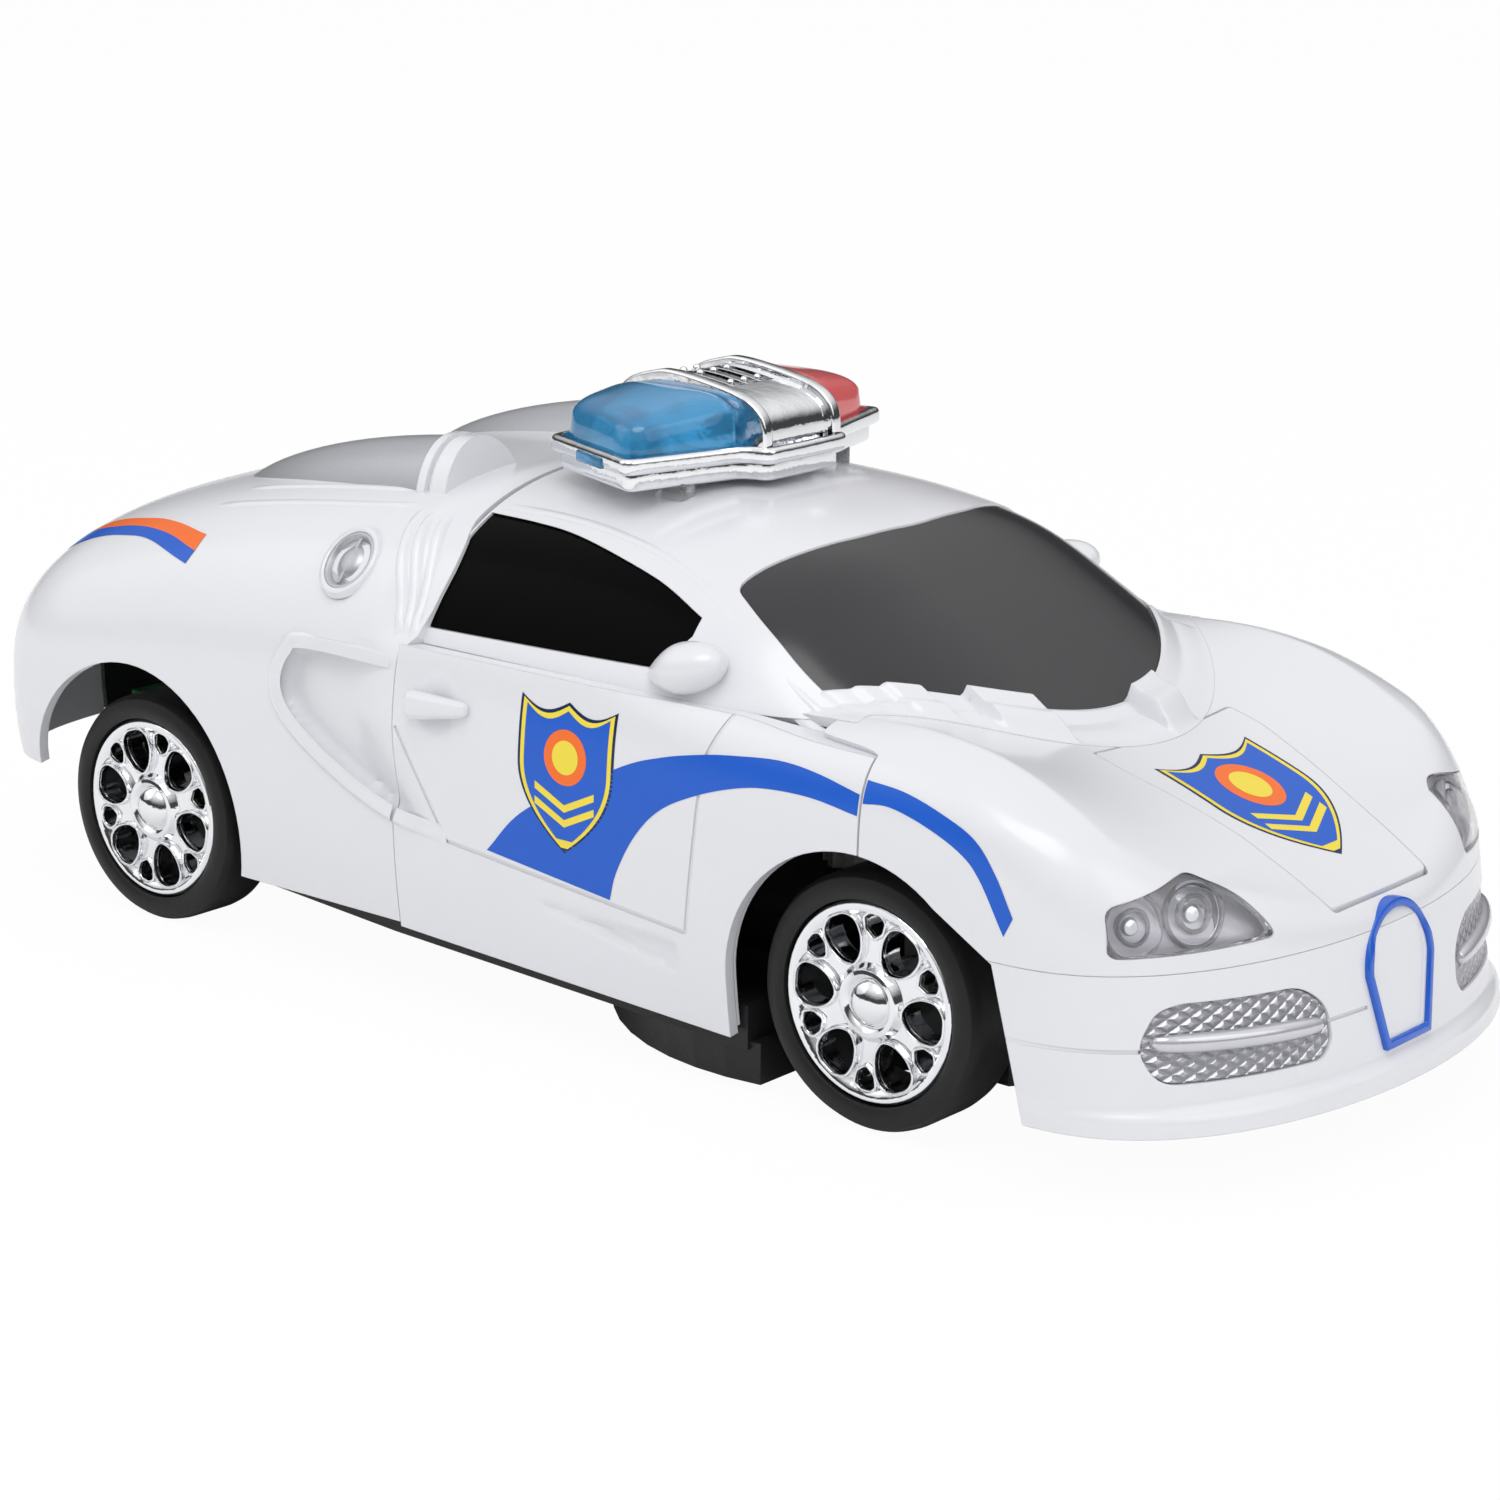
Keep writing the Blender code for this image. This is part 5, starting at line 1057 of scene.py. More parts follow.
@dataclass
class RearBody:
    """Rear shell, silver intakes with their frames, and filler caps."""

    shop: Workshop
    arch_radius: float = 22.8
    hump_centre: Triple = (-26.0, 20.0, 63.6)
    hump_radii: Triple = (47.0, 8.6, 12.0)
    hump_tilt: float = -6.0
    hump_face: float = -27.0
    frame_face: float = -21.5
    cap_place: Pair = (-27.4, 60.5)
    cap_radius: float = 4.5
    rim_reach: Pair = (2.2, -1.7)
    rim_height: float = 0.5
    rim_top_from: float = 44.0
    rim_top_end: float = -29.0
    rim_top_run: float = 6.0
    pin_half: float = 9.0
    pin_radius: float = 0.55
    pin_place: Pair = (-16.3, 70.4)
    ribs: tuple[Line, ...] = (
        ((-22.1, 67.5), (-17.3, 59.7), (-14.6, 52.6)),
        ((-19.6, 67.5), (-15.6, 59.8), (-13.4, 52.6)),
        ((-17.2, 67.7), (-13.9, 60.0), (-12.2, 52.6)),
    )
    rails: tuple[Line, ...] = (
        ((-64.0, 33.0), (-51.7, 32.8), (-34.2, 32.2), (-22.7, 31.1)),
        ((-62.0, 28.2), (-50.0, 28.1), (-38.5, 27.9), (-26.6, 27.4)),
    )

    def build(self) -> None:
        """Makes and dresses every piece of the rear."""
        shell = self.shop.sheet("rear_shell_moulded", BODY.rear, (130, 150), BODY.wall)
        reach = BODY.half_width * 1.3
        x, z = BODY.rear_axle, BODY.axle_height
        hole = rod((x, -reach, z), (x, reach, z), self.arch_radius, 72)
        self.shop.cut(shell, hole)
        self.shop.finish(shell, WHITE, "chassis", "rear_shell")
        self.intakes()
        self.caps()
        self.pillar_ribs()
        self.scoop_rim()
        self.hinge_pin()

    def hinge_pin(self) -> None:
        """The steel pin under the roof seam, between the shells."""
        x, z = self.pin_place
        bm = rod((x, -self.pin_half, z), (x, self.pin_half, z), self.pin_radius)
        self.shop.add("lift_hinge_pin_steel", bm, STEEL, "chassis", "lift_hinge_pin")

    def scoop_rim(self) -> None:
        """The soft raised rim round the hollow behind each door, on the shell and on the panel."""
        seam = BODY.rear_seam
        behind = [place for place in BODY.scoop if place[0] < seam]
        line = drawn([(seam + 0.4, 50.4), *behind, (seam + 0.4, 26.7), (-8.0, 26.2), (-2.9, 25.9)])
        shell = [place for place in line if place[0] <= seam]
        panel = [place for place in line if place[0] > seam and place[1] < 40]

        def rim(line: Line, face: Callable[[float, float], float], ends: Pair) -> Point:
            """The band across the rim, from the body into the hollow.

            Args:
                line: The hollow's edge seen from the side.
                face: Half width of the body at a place.
                ends: Limits along the car.

            Returns:
                The band's surface.
            """

            def point(u: float, v: float) -> Vector:
                """A place across the rim."""
                outer, inner = self.rim_reach
                away = mix(outer, inner, v)
                place = beside(line, u, away)
                x, z = min(max(place.x, ends[0]), ends[1]), place.y
                low = 1 - ease((x - seam) / BODY.scoop_run)
                high = ease((self.rim_top_end - x) / self.rim_top_run)
                share = high if z > self.rim_top_from else low
                ridge = self.rim_height * ease((outer - away) / 1.7) * share
                drop = BODY.scoop_depth * ease((0.4 - away) / 2.0) * BODY.scoop_fade(x, z)
                return Vector((x, face(x, z) + ridge - drop - 0.06, z))

            return point

        bands = (
            ("scoop_rim_left", rim(shell, BODY.rear_y, (-200.0, seam)), "chassis", 110),
            ("scoop_rim_panel_left", rim(panel, BODY.panel_y, (BODY.panel_x[0], 0.0)), "left_arm", 40),
        )
        for name, point, body, steps in bands:
            self.shop.add_both(name, facing(surface(point, steps, 16), "y"), WHITE, body, angle=70)

    def pillar_ribs(self) -> None:
        """Three soft ribs that run down each rear pillar, and the two along the deck's edge."""
        bands = []
        for line in self.ribs:
            on_side = rib(drawn(line), 1.5, 0.45, lambda x, z: Vector((x, BODY.rear_y(x, z), z)))
            bands.append(facing(surface(on_side, 40, 8), "y"))
        for line in self.rails:
            on_deck = rib(drawn(line), 1.6, 0.3, lambda x, y: Vector((x, y, BODY.rear_z(x, y))))
            bands.append(facing(surface(on_deck, 60, 8), "y"))
        self.shop.add_both("pillar_ribs_left", joined(bands), WHITE, "chassis")

    def hump(self, grow: float, front: float, rear: float) -> Form:
        """A slice of the intake's form, larger by a distance all round."""
        bm = ball([radius + grow for radius in self.hump_radii], 64, 40)
        turn = Matrix.Rotation(math.radians(self.hump_tilt), 4, "Y")
        moved(bm, Matrix.Translation(self.hump_centre) @ turn)
        planes = (((front, 0, 70), (1, 0, 0.12)), ((rear, 0, 70), (-1, 0, -0.12)), ((0, 0, 63), (0, 0, -1)))
        for place, normal in planes:
            geom = bm.verts[:] + bm.edges[:] + bm.faces[:]
            bmesh.ops.bisect_plane(bm, geom=geom, plane_co=place, plane_no=normal, clear_outer=True)
            capped(bm)
        return bm

    def intakes(self) -> None:
        """Silver humps on the deck, each with a white frame at its front."""
        face = self.hump_face
        self.shop.add_both(
            "air_intake_left_hump", self.hump(0, face, -80), SILVER, "chassis", "air_intake_left"
        )
        slices = ((0.5, face + 1.6, face), (-0.3, face + 2.6, face + 1.4), (0.2, self.frame_face, face + 2.4))
        bm = joined([self.hump(*part) for part in slices])
        self.shop.add_both("air_intake_left_frame", bm, WHITE, "chassis")

    def caps(self) -> None:
        """Silver filler caps set in the shoulders: a ring, a dish, a dome and a bar."""
        x, z = self.cap_place
        y = BODY.rear_y(x, z)
        slope = BODY.rear_y(x, z + 0.5) - BODY.rear_y(x, z - 0.5)
        out = Vector((0, 1, -slope)).normalized()
        radius = self.cap_radius
        profile = [(0, 0.75), (1.2, 0.68), (2.2, 0.35), (2.7, -0.1), (2.9, -0.3), (3.9, -0.3), (4.1, 0.2)]
        profile += [(4.5, 0.55), (5.0, 0.5), (radius, 0.0), (radius + 0.5, -1.2)]
        bm = spun(profile, 64)
        bar = box((-0.35, 0.35), (-0.4, 0.45), (-4.0, 4.0))
        bm = joined([bm, softened(bar, 0.12, 2)])
        turn = Vector((0, 1, 0)).rotation_difference(out).to_matrix().to_4x4()
        seat = Matrix.Translation((x, y + 0.1, z)) @ turn @ Matrix.Diagonal((0.8, 0.8, 0.92, 1))
        self.shop.add_both("filler_cap_left_dish", moved(bm, seat), SILVER, "chassis", "filler_cap_left")
        rim = moved(spun([(4.9, -0.6), (5.0, 0.6), (5.4, 0.8), (5.9, 0.6), (6.3, -0.6)], 64), seat)
        self.shop.add_both("filler_cap_left_rim", rim, WHITE, "chassis")


@dataclass
class Cabin:
    """Cabin shell with its glazing and mirrors."""

    shop: Workshop
    grid: Grid = (96, 120)
    side_window: Line = (
        (-11.9, 53.8), (-11.9, 67.7), (-2.8, 67.7), (4.6, 67.4), (12.2, 66.5), (21.4, 64.9), (27.0, 63.5),
        (33.6, 61.2), (33.7, 59.1), (30.4, 54.7),
    )
    screen: Line = (
        (79.2, 0), (76.2, 14), (67.2, 27), (57.0, 36.0), (49.4, 35.4), (41.2, 33.7), (35.2, 31.4),
        (36.0, 27.5), (38.3, 20.5), (40.3, 12.0), (41.2, 0),
    )
    rails: tuple[Line, ...] = (
        (
            (-10.5, 26.6), (1.5, 27.2), (12.0, 28.4), (22.0, 30.2), (31.0, 32.6), (41.0, 36.2),
            (50.0, 38.6), (57.0, 39.4),
        ),
        ((34.5, 32.7), (41.0, 35.0), (49.4, 37.0), (57.0, 37.7)),
    )
    mirror_centre: Triple = (35.7, 41.9, 55.8)
    mirror_radii: Triple = (6.5, 4.0, 3.5)
    mirror_tilt: float = math.radians(-17)

    def build(self) -> None:
        """Makes and dresses the cabin."""
        shell = self.shop.sheet("cabin_moulded", BODY.cabin, self.grid, BODY.wall)
        screen = rounded(mirrored(self.screen), 2.5, 4)
        window = [self.side_window[0], *drawn(self.side_window[1:8]), *self.side_window[8:]]
        self.shop.cut(shell, prism(screen, "z", *UPWARD))
        self.shop.cut(shell, prism(window, "y", *LEFT_SIDE))
        self.shop.cut(shell, prism(window, "y", *RIGHT_SIDE))
        self.shop.finish(shell, WHITE, "front_half", "cabin_shell")
        pane = self.shop.pane(
            "windscreen_pane", BODY.cabin, self.grid, (1.2, 0.25), prism(inset(screen, 0.15), "z", *UPWARD)
        )
        self.shop.finish(pane, SCREEN, "front_half", "windscreen")
        pane = self.shop.pane(
            "side_window_left_pane", BODY.cabin, self.grid, (1.2, 0.3),
            prism(inset(window, 0.15), "y", *LEFT_SIDE),
        )
        self.shop.both(pane, PANE, "front_half", "side_window_left")
        inner = replace(BODY, sill=49.2, cabin_rear=-12.6)
        lining = self.shop.sheet("cabin_lining", inner.cabin, (48, 60), *BODY.lining)
        self.shop.finish(lining, WHITE, "front_half")
        self.mirrors()
        self.ridges()

    def ridges(self) -> None:
        """Soft ridges along the roof's edge and the front pillars."""
        bands = []
        for line in self.rails:
            ridge = rib(drawn(line), 1.5, 0.32, lambda x, y: Vector((x, y, BODY.cabin_z(x, y))))
            bands.append(facing(surface(ridge, 70, 8), "z"))
        self.shop.add_both("roof_ridges_left", joined(bands), WHITE, "front_half")

    def mirrors(self) -> None:
        """Egg-shaped mirrors that taper into the front pillars."""
        bm = ball(self.mirror_radii, 48, 32)
        for vert in bm.verts:
            behind = ease(-vert.co.x / self.mirror_radii[0])
            vert.co.y *= 1 - 0.3 * behind
            vert.co.z *= 1 - 0.35 * behind
        moved(bm, Matrix.Translation(self.mirror_centre) @ Matrix.Rotation(self.mirror_tilt, 4, "Y"))
        self.shop.add_both("mirror_left_egg", bm, WHITE, "front_half", "mirror_left")


@dataclass
class FrontBody:
    """Hood, flap, bumper, lamps, grille and cowl."""

    shop: Workshop
    hood_grid: Grid = (96, 150)
    bumper_grid: Grid = (36, 160)
    flap: Line = ((82.0, 15.9), (87.4, 15.9), (103.0, 12.8), (116.5, 11.7))
    flap_gaps: Pair = (0.25, -0.5)
    housing_rear: float = 86.0
    arm_room: tuple[Pair, Pair] = ((55.0, 72.0), (40.6, 60.0))
    headlamp: Line = ((42.3, 37.2), (31.6, 39.3), (28.7, 39.4), (25.4, 37.3), (22.6, 31.7), (43.0, 31.0))
    fog_lamp: Line = (
        (41.2, 19.9), (39.0, 24.4), (36.6, 25.3), (20.0, 24.9), (15.6, 21.7), (15.1, 17.0), (17.0, 15.0),
        (39.4, 15.3),
    )
    bar_ends: Pair = (16.4, 39.9)
    bar_heights: Pair = (19.4, 20.5)
    bar_radius: float = 1.3
    reflectors: Line = ((38.0, 34.4), (31.0, 35.2))
    line_height: float = 19.6
    grille_top: float = 31.8
    grille_bottom: float = 13.4
    grille_half: float = 8.0
    grille_foot: float = 5.4
    grille_lean: float = 0.2
    grille_bend: float = 26.0
    grille_level: float = 28.0
    grille_arch: float = 8.4
    cowl_half: float = 39.0
    cowl_run: Pair = (-5.5, 3.4)

    def build(self) -> None:
        """Makes and dresses the front."""
        lamp, fog = rounded(self.headlamp, 1.5, 4), rounded(self.fog_lamp, 2.4, 5)
        opening = rounded(mirrored(self.flap), 1, 5)
        hood = self.shell("hood_moulded", BODY.hood_point, self.hood_grid, (BODY.wall, 0.0), lamp)
        self.shop.cut(hood, prism(opening, "z", *UPWARD))
        self.shop.finish(hood, WHITE, "front_half", "hood_shell")
        bumper = self.shell("bumper_moulded", BODY.bumper, self.bumper_grid, (BODY.wall, 0.0), fog)
        for side in (-1, 1):
            self.bumper_line(bumper, side)
        self.shop.finish(bumper, WHITE, "front_half", "front_bumper")
        (rear, rear_y), *sides, (front, front_y) = self.flap
        closed = [(rear + self.flap_gaps[0], rear_y), *sides, (front + self.flap_gaps[1], front_y)]
        keep = prism(inset(rounded(mirrored(closed), 1, 5), 0.08), "z", *UPWARD)
        flap = self.shop.pane("hood_flap_moulded", BODY.hood_point, self.hood_grid, (BODY.wall, 0.0), keep)
        self.shop.finish(flap, WHITE, "flap", "hood_flap")
        self.linings(lamp, fog, opening)
        self.headlamps(lamp)
        self.fog_lamps(fog)
        self.grille()
        self.cowl()

    def shell(self, name: str, point: Point, grid: Grid, wall: Pair, lamp: Line) -> Object:
        """A shell of the front that is open at its wheels and lamps.

        Args:
            name: The object's name.
            point: The surface that it lies under.
            grid: Facets along and across.
            wall: Its thickness, and how far below the surface it starts.
            lamp: Outline of the left lamp, seen from the front.

        Returns:
            The shell.
        """
        made = self.shop.sheet(name, point, grid, *wall)
        self.shop.cut(made, prism(BODY.arch(), "y", *ACROSS))
        for side in (-1, 1):
            self.shop.cut(made, prism([(side * y, z) for y, z in lamp], "x", *AHEAD))
        return made

    def linings(self, lamp: Line, fog: Line, opening: Line) -> None:
        """Inner skins that close the seams of hood and bumper, with room for the side panels to turn."""
        inner = replace(BODY, cowl_corner=(50.0, 36.0), fender_seam=(45.0, 46.4), cowl_x=76.0)
        lining = self.shell("hood_lining", inner.hood_point, (40, 60), BODY.lining, inset(lamp, -1))
        for side in (-1, 1):
            across = sorted(side * y for y in self.arm_room[1])
            self.shop.cut(lining, box(self.arm_room[0], across, (0, 100)))
        self.shop.cut(lining, prism(inset(opening, -0.5), "z", *UPWARD))
        self.shop.finish(lining, WHITE, "front_half")
        inner = replace(BODY, lamp_line=31.2)
        lining = self.shell("bumper_lining", inner.bumper, (16, 80), BODY.lining, inset(fog, -1))
        self.shop.finish(lining, WHITE, "front_half")

    def bumper_line(self, bumper: Object, side: int) -> None:
        """The fine line round the bumper, between fog lamp, grille and wheel."""

        def lift(y: float, z: float) -> Vector:
            """A place just under the bumper's face."""
            return Vector((BODY.bumper_x(y, z) - 0.3, side * y, z))

        for low, high in ((8.0, 15.6), (40.6, 47.6)):
            line = [(mix(low, high, step / 8), self.line_height) for step in range(9)]
            tool = outward(surface(groove(line, 0.45, lift), 24, 1))
            bmesh.ops.solidify(tool, geom=tool.faces[:], thickness=1.2)
            self.shop.cut(bumper, outward(tool))

    def lamp(
        self, name: str, point: Point, grid: Grid, outline: Line, finish: Finish,
        walls: tuple[Pair, Pair], margin: float,
    ) -> None:
        """A lens and the housing behind it, on both sides.

        Args:
            name: The left lens's node.
            point: The surface that they lie under.
            grid: Facets along and across.
            outline: The left lens seen from the front.
            finish: The lens's finish.
            walls: Thickness and depth of the lens, then of the housing.
            margin: How far the housing reaches past the lens.
        """
        keep = prism(inset(outline, 0.15), "x", *AHEAD)
        lens = self.shop.pane(name + "_lens", point, grid, walls[0], keep)
        self.shop.both(lens, finish, "front_half", name)
        keep = prism(inset(outline, -margin), "x", self.housing_rear, AHEAD[1])
        tub = self.shop.pane(name + "_housing", point, grid, walls[1], keep)
        self.shop.both(tub, HOUSING, "front_half")

    @staticmethod
    def reflector_place(y: float, z: float) -> Matrix:
        """Where a reflector that is made round Y stands in the left lamp."""
        turn = Vector((0, 1, 0)).rotation_difference(Vector((1, 0.45, 0.3))).to_matrix().to_4x4()
        return Matrix.Translation((BODY.hood_front(y) - 6.0, y - 0.8, z - 0.8)) @ turn

    def headlamps(self, lamp: Line) -> None:
        """Clear lenses over two bright reflectors in a housing."""
        walls = ((0.9, 0.1), (0.8, 3.4))
        self.lamp("headlamp_left", BODY.hood_point, self.hood_grid, lamp, CLEAR, walls, 1.5)
        profile = [(0, 1.2), (0.9, 1.1), (1.3, 0.7), (1.35, -1.6), (2.2, -1.2)]
        profile += [(3.1, 0.2), (3.6, 1.3), (3.75, 1.1), (3.2, -0.6)]
        rings, dishes = [], []
        for y, z in self.reflectors:
            place = self.reflector_place(y, z)
            dishes.append(moved(spun(profile, 40), place))
            for radius in (2.1, 4.0):
                hoop = [(radius - 0.3, 1.5), (radius, 1.9), (radius + 0.3, 1.5), (radius, 0.4)]
                rings.append(moved(spun(hoop + hoop[:1], 40), place))
        self.shop.add_both("headlamp_left_rings", joined(rings), LAMP_TRIM, "front_half")
        self.shop.add_both("headlamp_left_reflectors", joined(dishes), CHROME, "front_half")

    def fog_lamps(self, fog: Line) -> None:
        """Diamond-cut lenses with a bar across them, over a housing."""
        walls = ((1.0, 0.3), (0.6, 2.6))
        self.lamp("fog_lamp_left", BODY.bumper, self.bumper_grid, fog, DIAMOND, walls, 0.8)

        def bar(u: float, v: float) -> Vector:
            """A place round the bar."""
            y, turn = mix(*self.bar_ends, v), 2 * math.pi * u
            thick = self.bar_radius * crown(2 * v - 1, 1.0, 4)
            x = BODY.bumper_x(y, 20.0) - 0.2 + thick * math.cos(turn)
            return Vector((x, y, mix(*self.bar_heights, v) + thick * math.sin(turn)))

        bm = welded(surface(bar, 16, 30))
        self.shop.add_both("fog_lamp_left_bar", bm, LAMP_BAR, "front_half")

    def grille(self) -> None:
        """The blue arch frame on the nose."""
        half: list[Pair] = []
        for step in range(17):
            angle = math.pi * step / 32
            drop = self.grille_arch * (1 - math.cos(angle))
            half.append((self.grille_half * math.sin(angle), self.grille_top - drop))
        half.append((self.grille_foot, self.grille_bottom))
        outer = half + [(-y, z) for y, z in reversed(half) if y > 0]
        for name, width, low, high, finish, node in (
            ("grille_bezel", 1.9, -1.6, 0.1, WHITE, ""),
            ("grille_frame_arch", 1.15, -1.6, 0.7, BLUE, "grille_frame"),
        ):
            bm = ring(inset(outer, 0.3) if finish is WHITE else outer, inset(outer, width), "x", 0.0, 1.0)
            for vert in bm.verts:
                lean = self.grille_lean * max(vert.co.z - self.grille_bend, 0.0)
                face = BODY.bumper_x(vert.co.y, min(vert.co.z, self.grille_level))
                vert.co.x = face + mix(low, high, vert.co.x) - lean
            self.shop.add(name, softened(bm, 0.25, 3, 50), finish, "front_half", node)

    def cowl(self) -> None:
        """The moulding at the windscreen's foot, which steps up to two blocks."""
        levels = (
            (-39.0, 0.1), (-36.0, 0.5), (-33.4, 1.0), (-30.9, 1.7), (-27.2, 0.9), (-23.0, 2.6),
            (-14.8, 0.5), (1.6, 3.2), (8.4, 0.5), (32.0, 0.1),
        )

        def rise(y: float) -> float:
            """Height of the moulding's top above what it lies on."""
            total = levels[0][1]
            for (_, before), (place, after) in zip(levels, levels[1:]):
                total += (after - before) * ease((y - place) / 0.5 + 0.5)
            return total

        def point(u: float, v: float) -> Vector:
            """A place on the moulding's top."""
            y = mix(-self.cowl_half, self.cowl_half, v)
            edge = BODY.hood_rear(y)
            x = mix(edge + self.cowl_run[0], edge + self.cowl_run[1], u)
            screen = BODY.cabin_z(x, y)
            flat = ease(u / 0.1) * (1 - ease((u - 0.5) / 0.5))
            return Vector((x, y, max(screen, BODY.hood_z(x, y)) + 0.1 + rise(y) * flat))

        bar = self.shop.sheet("cowl_moulding_stepped", point, (24, 230), 1.4)
        self.shop.finish(bar, WHITE, "front_half", "cowl_moulding")


@dataclass
class Doors:
    """Side panels with door lines, handles and a hollow sill."""

    shop: Workshop
    door: Line = ((-12.7, 40.5), (-2.9, 25.9), (40.3, 21.9), (42.7, 42.2), (43.3, 46.5), (45.6, 51.9))
    sill: Line = ((8.6, 21.1), (38.9, 20.3), (38.9, 15.8))
    sill_depth: float = 0.7
    sill_edge: float = 1.2
    line_width: float = 0.5
    line_depth: float = 0.22
    handle: Pair = (-4.8, 44.7)
    dish: Pair = (4.6, 5.2)
    dish_depth: float = 0.9

    def relief(self, x: float, z: float) -> float:
        """Depth of the panel's hollows at a place seen from the side."""
        depth = BODY.scoop_at(x, z)
        if inside(self.sill, x, z):
            away = edge_distance([*self.sill, self.sill[0]], x, z)
            depth += self.sill_depth * ease(away / self.sill_edge)
        dish = math.hypot((x - self.handle[0]) / self.dish[0], (z - self.handle[1]) / self.dish[1])
        return depth + self.dish_depth * (1 - ease(dish))

    def point(self, u: float, v: float) -> Vector:
        """A place on the left panel's outer face."""
        place = BODY.panel(u, v)
        place.y -= self.relief(place.x, place.z)
        return place

    def sunk(self, x: float, z: float) -> Vector:
        """The bottom of the door's line at a place seen from the side."""
        return Vector((x, BODY.panel_y(x, z) - self.relief(x, z) - self.line_depth, z))

    def lining(self) -> None:
        """An inner skin behind each panel, which closes its seams from within."""

        def point(u: float, v: float) -> Vector:
            """A place on the skin, drawn out behind the rear seam."""
            x = mix(BODY.panel_x[0] - 3, BODY.panel_x[1], u)
            z = mix(curve(BODY.panel_top, x) - 0.5, curve(BODY.panel_bottom, x) + 1, v)
            return Vector((x, BODY.panel_y(x, z) - self.relief(x, z), z))

        def ledge(u: float, v: float) -> Vector:
            """A place on the shelf between the panel's top edge and the cabin."""
            x = mix(*BODY.panel_x, u)
            z = curve(BODY.panel_top, x)
            share = (z - BODY.waist) / (curve(BODY.roof, x) - BODY.waist)
            cabin = BODY.cabin_half * crown(min(share, 1.0), 1.0, BODY.cabin_power)
            edge = BODY.panel_y(x, z)
            return Vector((x, mix(max(cabin - 0.4, edge - 5.0), edge - 0.2, v), z - 0.02))

        shelf = self.shop.sheet("side_panel_left_ledge", ledge, (60, 4), 1.2)
        self.shop.both(shelf, WHITE, "left_arm")
        skin = self.shop.sheet("side_panel_left_lining", point, (60, 30), 0.4, 1.75)
        self.shop.cut(skin, prism(BODY.arch(), "y", *LEFT_SIDE))
        self.shop.both(skin, WHITE, "left_arm")

    def build(self) -> None:
        """Makes and dresses both panels."""
        panel = self.shop.sheet("side_panel_left_moulded", self.point, (120, 64), BODY.wall)
        self.shop.cut(panel, prism(BODY.arch(), "y", *LEFT_SIDE))
        tool = surface(groove(self.door, self.line_width, self.sunk), 120, 1)
        self.shop.cut(panel, raised(tool, tool.faces[:], "y", 3.0))
        self.shop.both(panel, WHITE, "left_arm", "side_panel_left")
        self.lining()
        x, z = self.handle
        bm = softened(box((-5.6, 5.8), (-1.6, 1.5), (-2.1, 2.1)), 1.3, 6)
        for vert in bm.verts:
            vert.co.z *= 1 - 0.5 * ease((vert.co.x + 1) / 6.8)
            vert.co.y *= 1 - 0.4 * ease((vert.co.x + 1) / 6.8)
        seat = Matrix.Translation((x + 0.3, BODY.panel_y(x, z) + 0.5, z - 0.1))
        moved(bm, seat @ Matrix.Rotation(math.radians(-5), 4, "Y"))
        self.shop.add_both("door_handle_left", bm, WHITE, "left_arm")


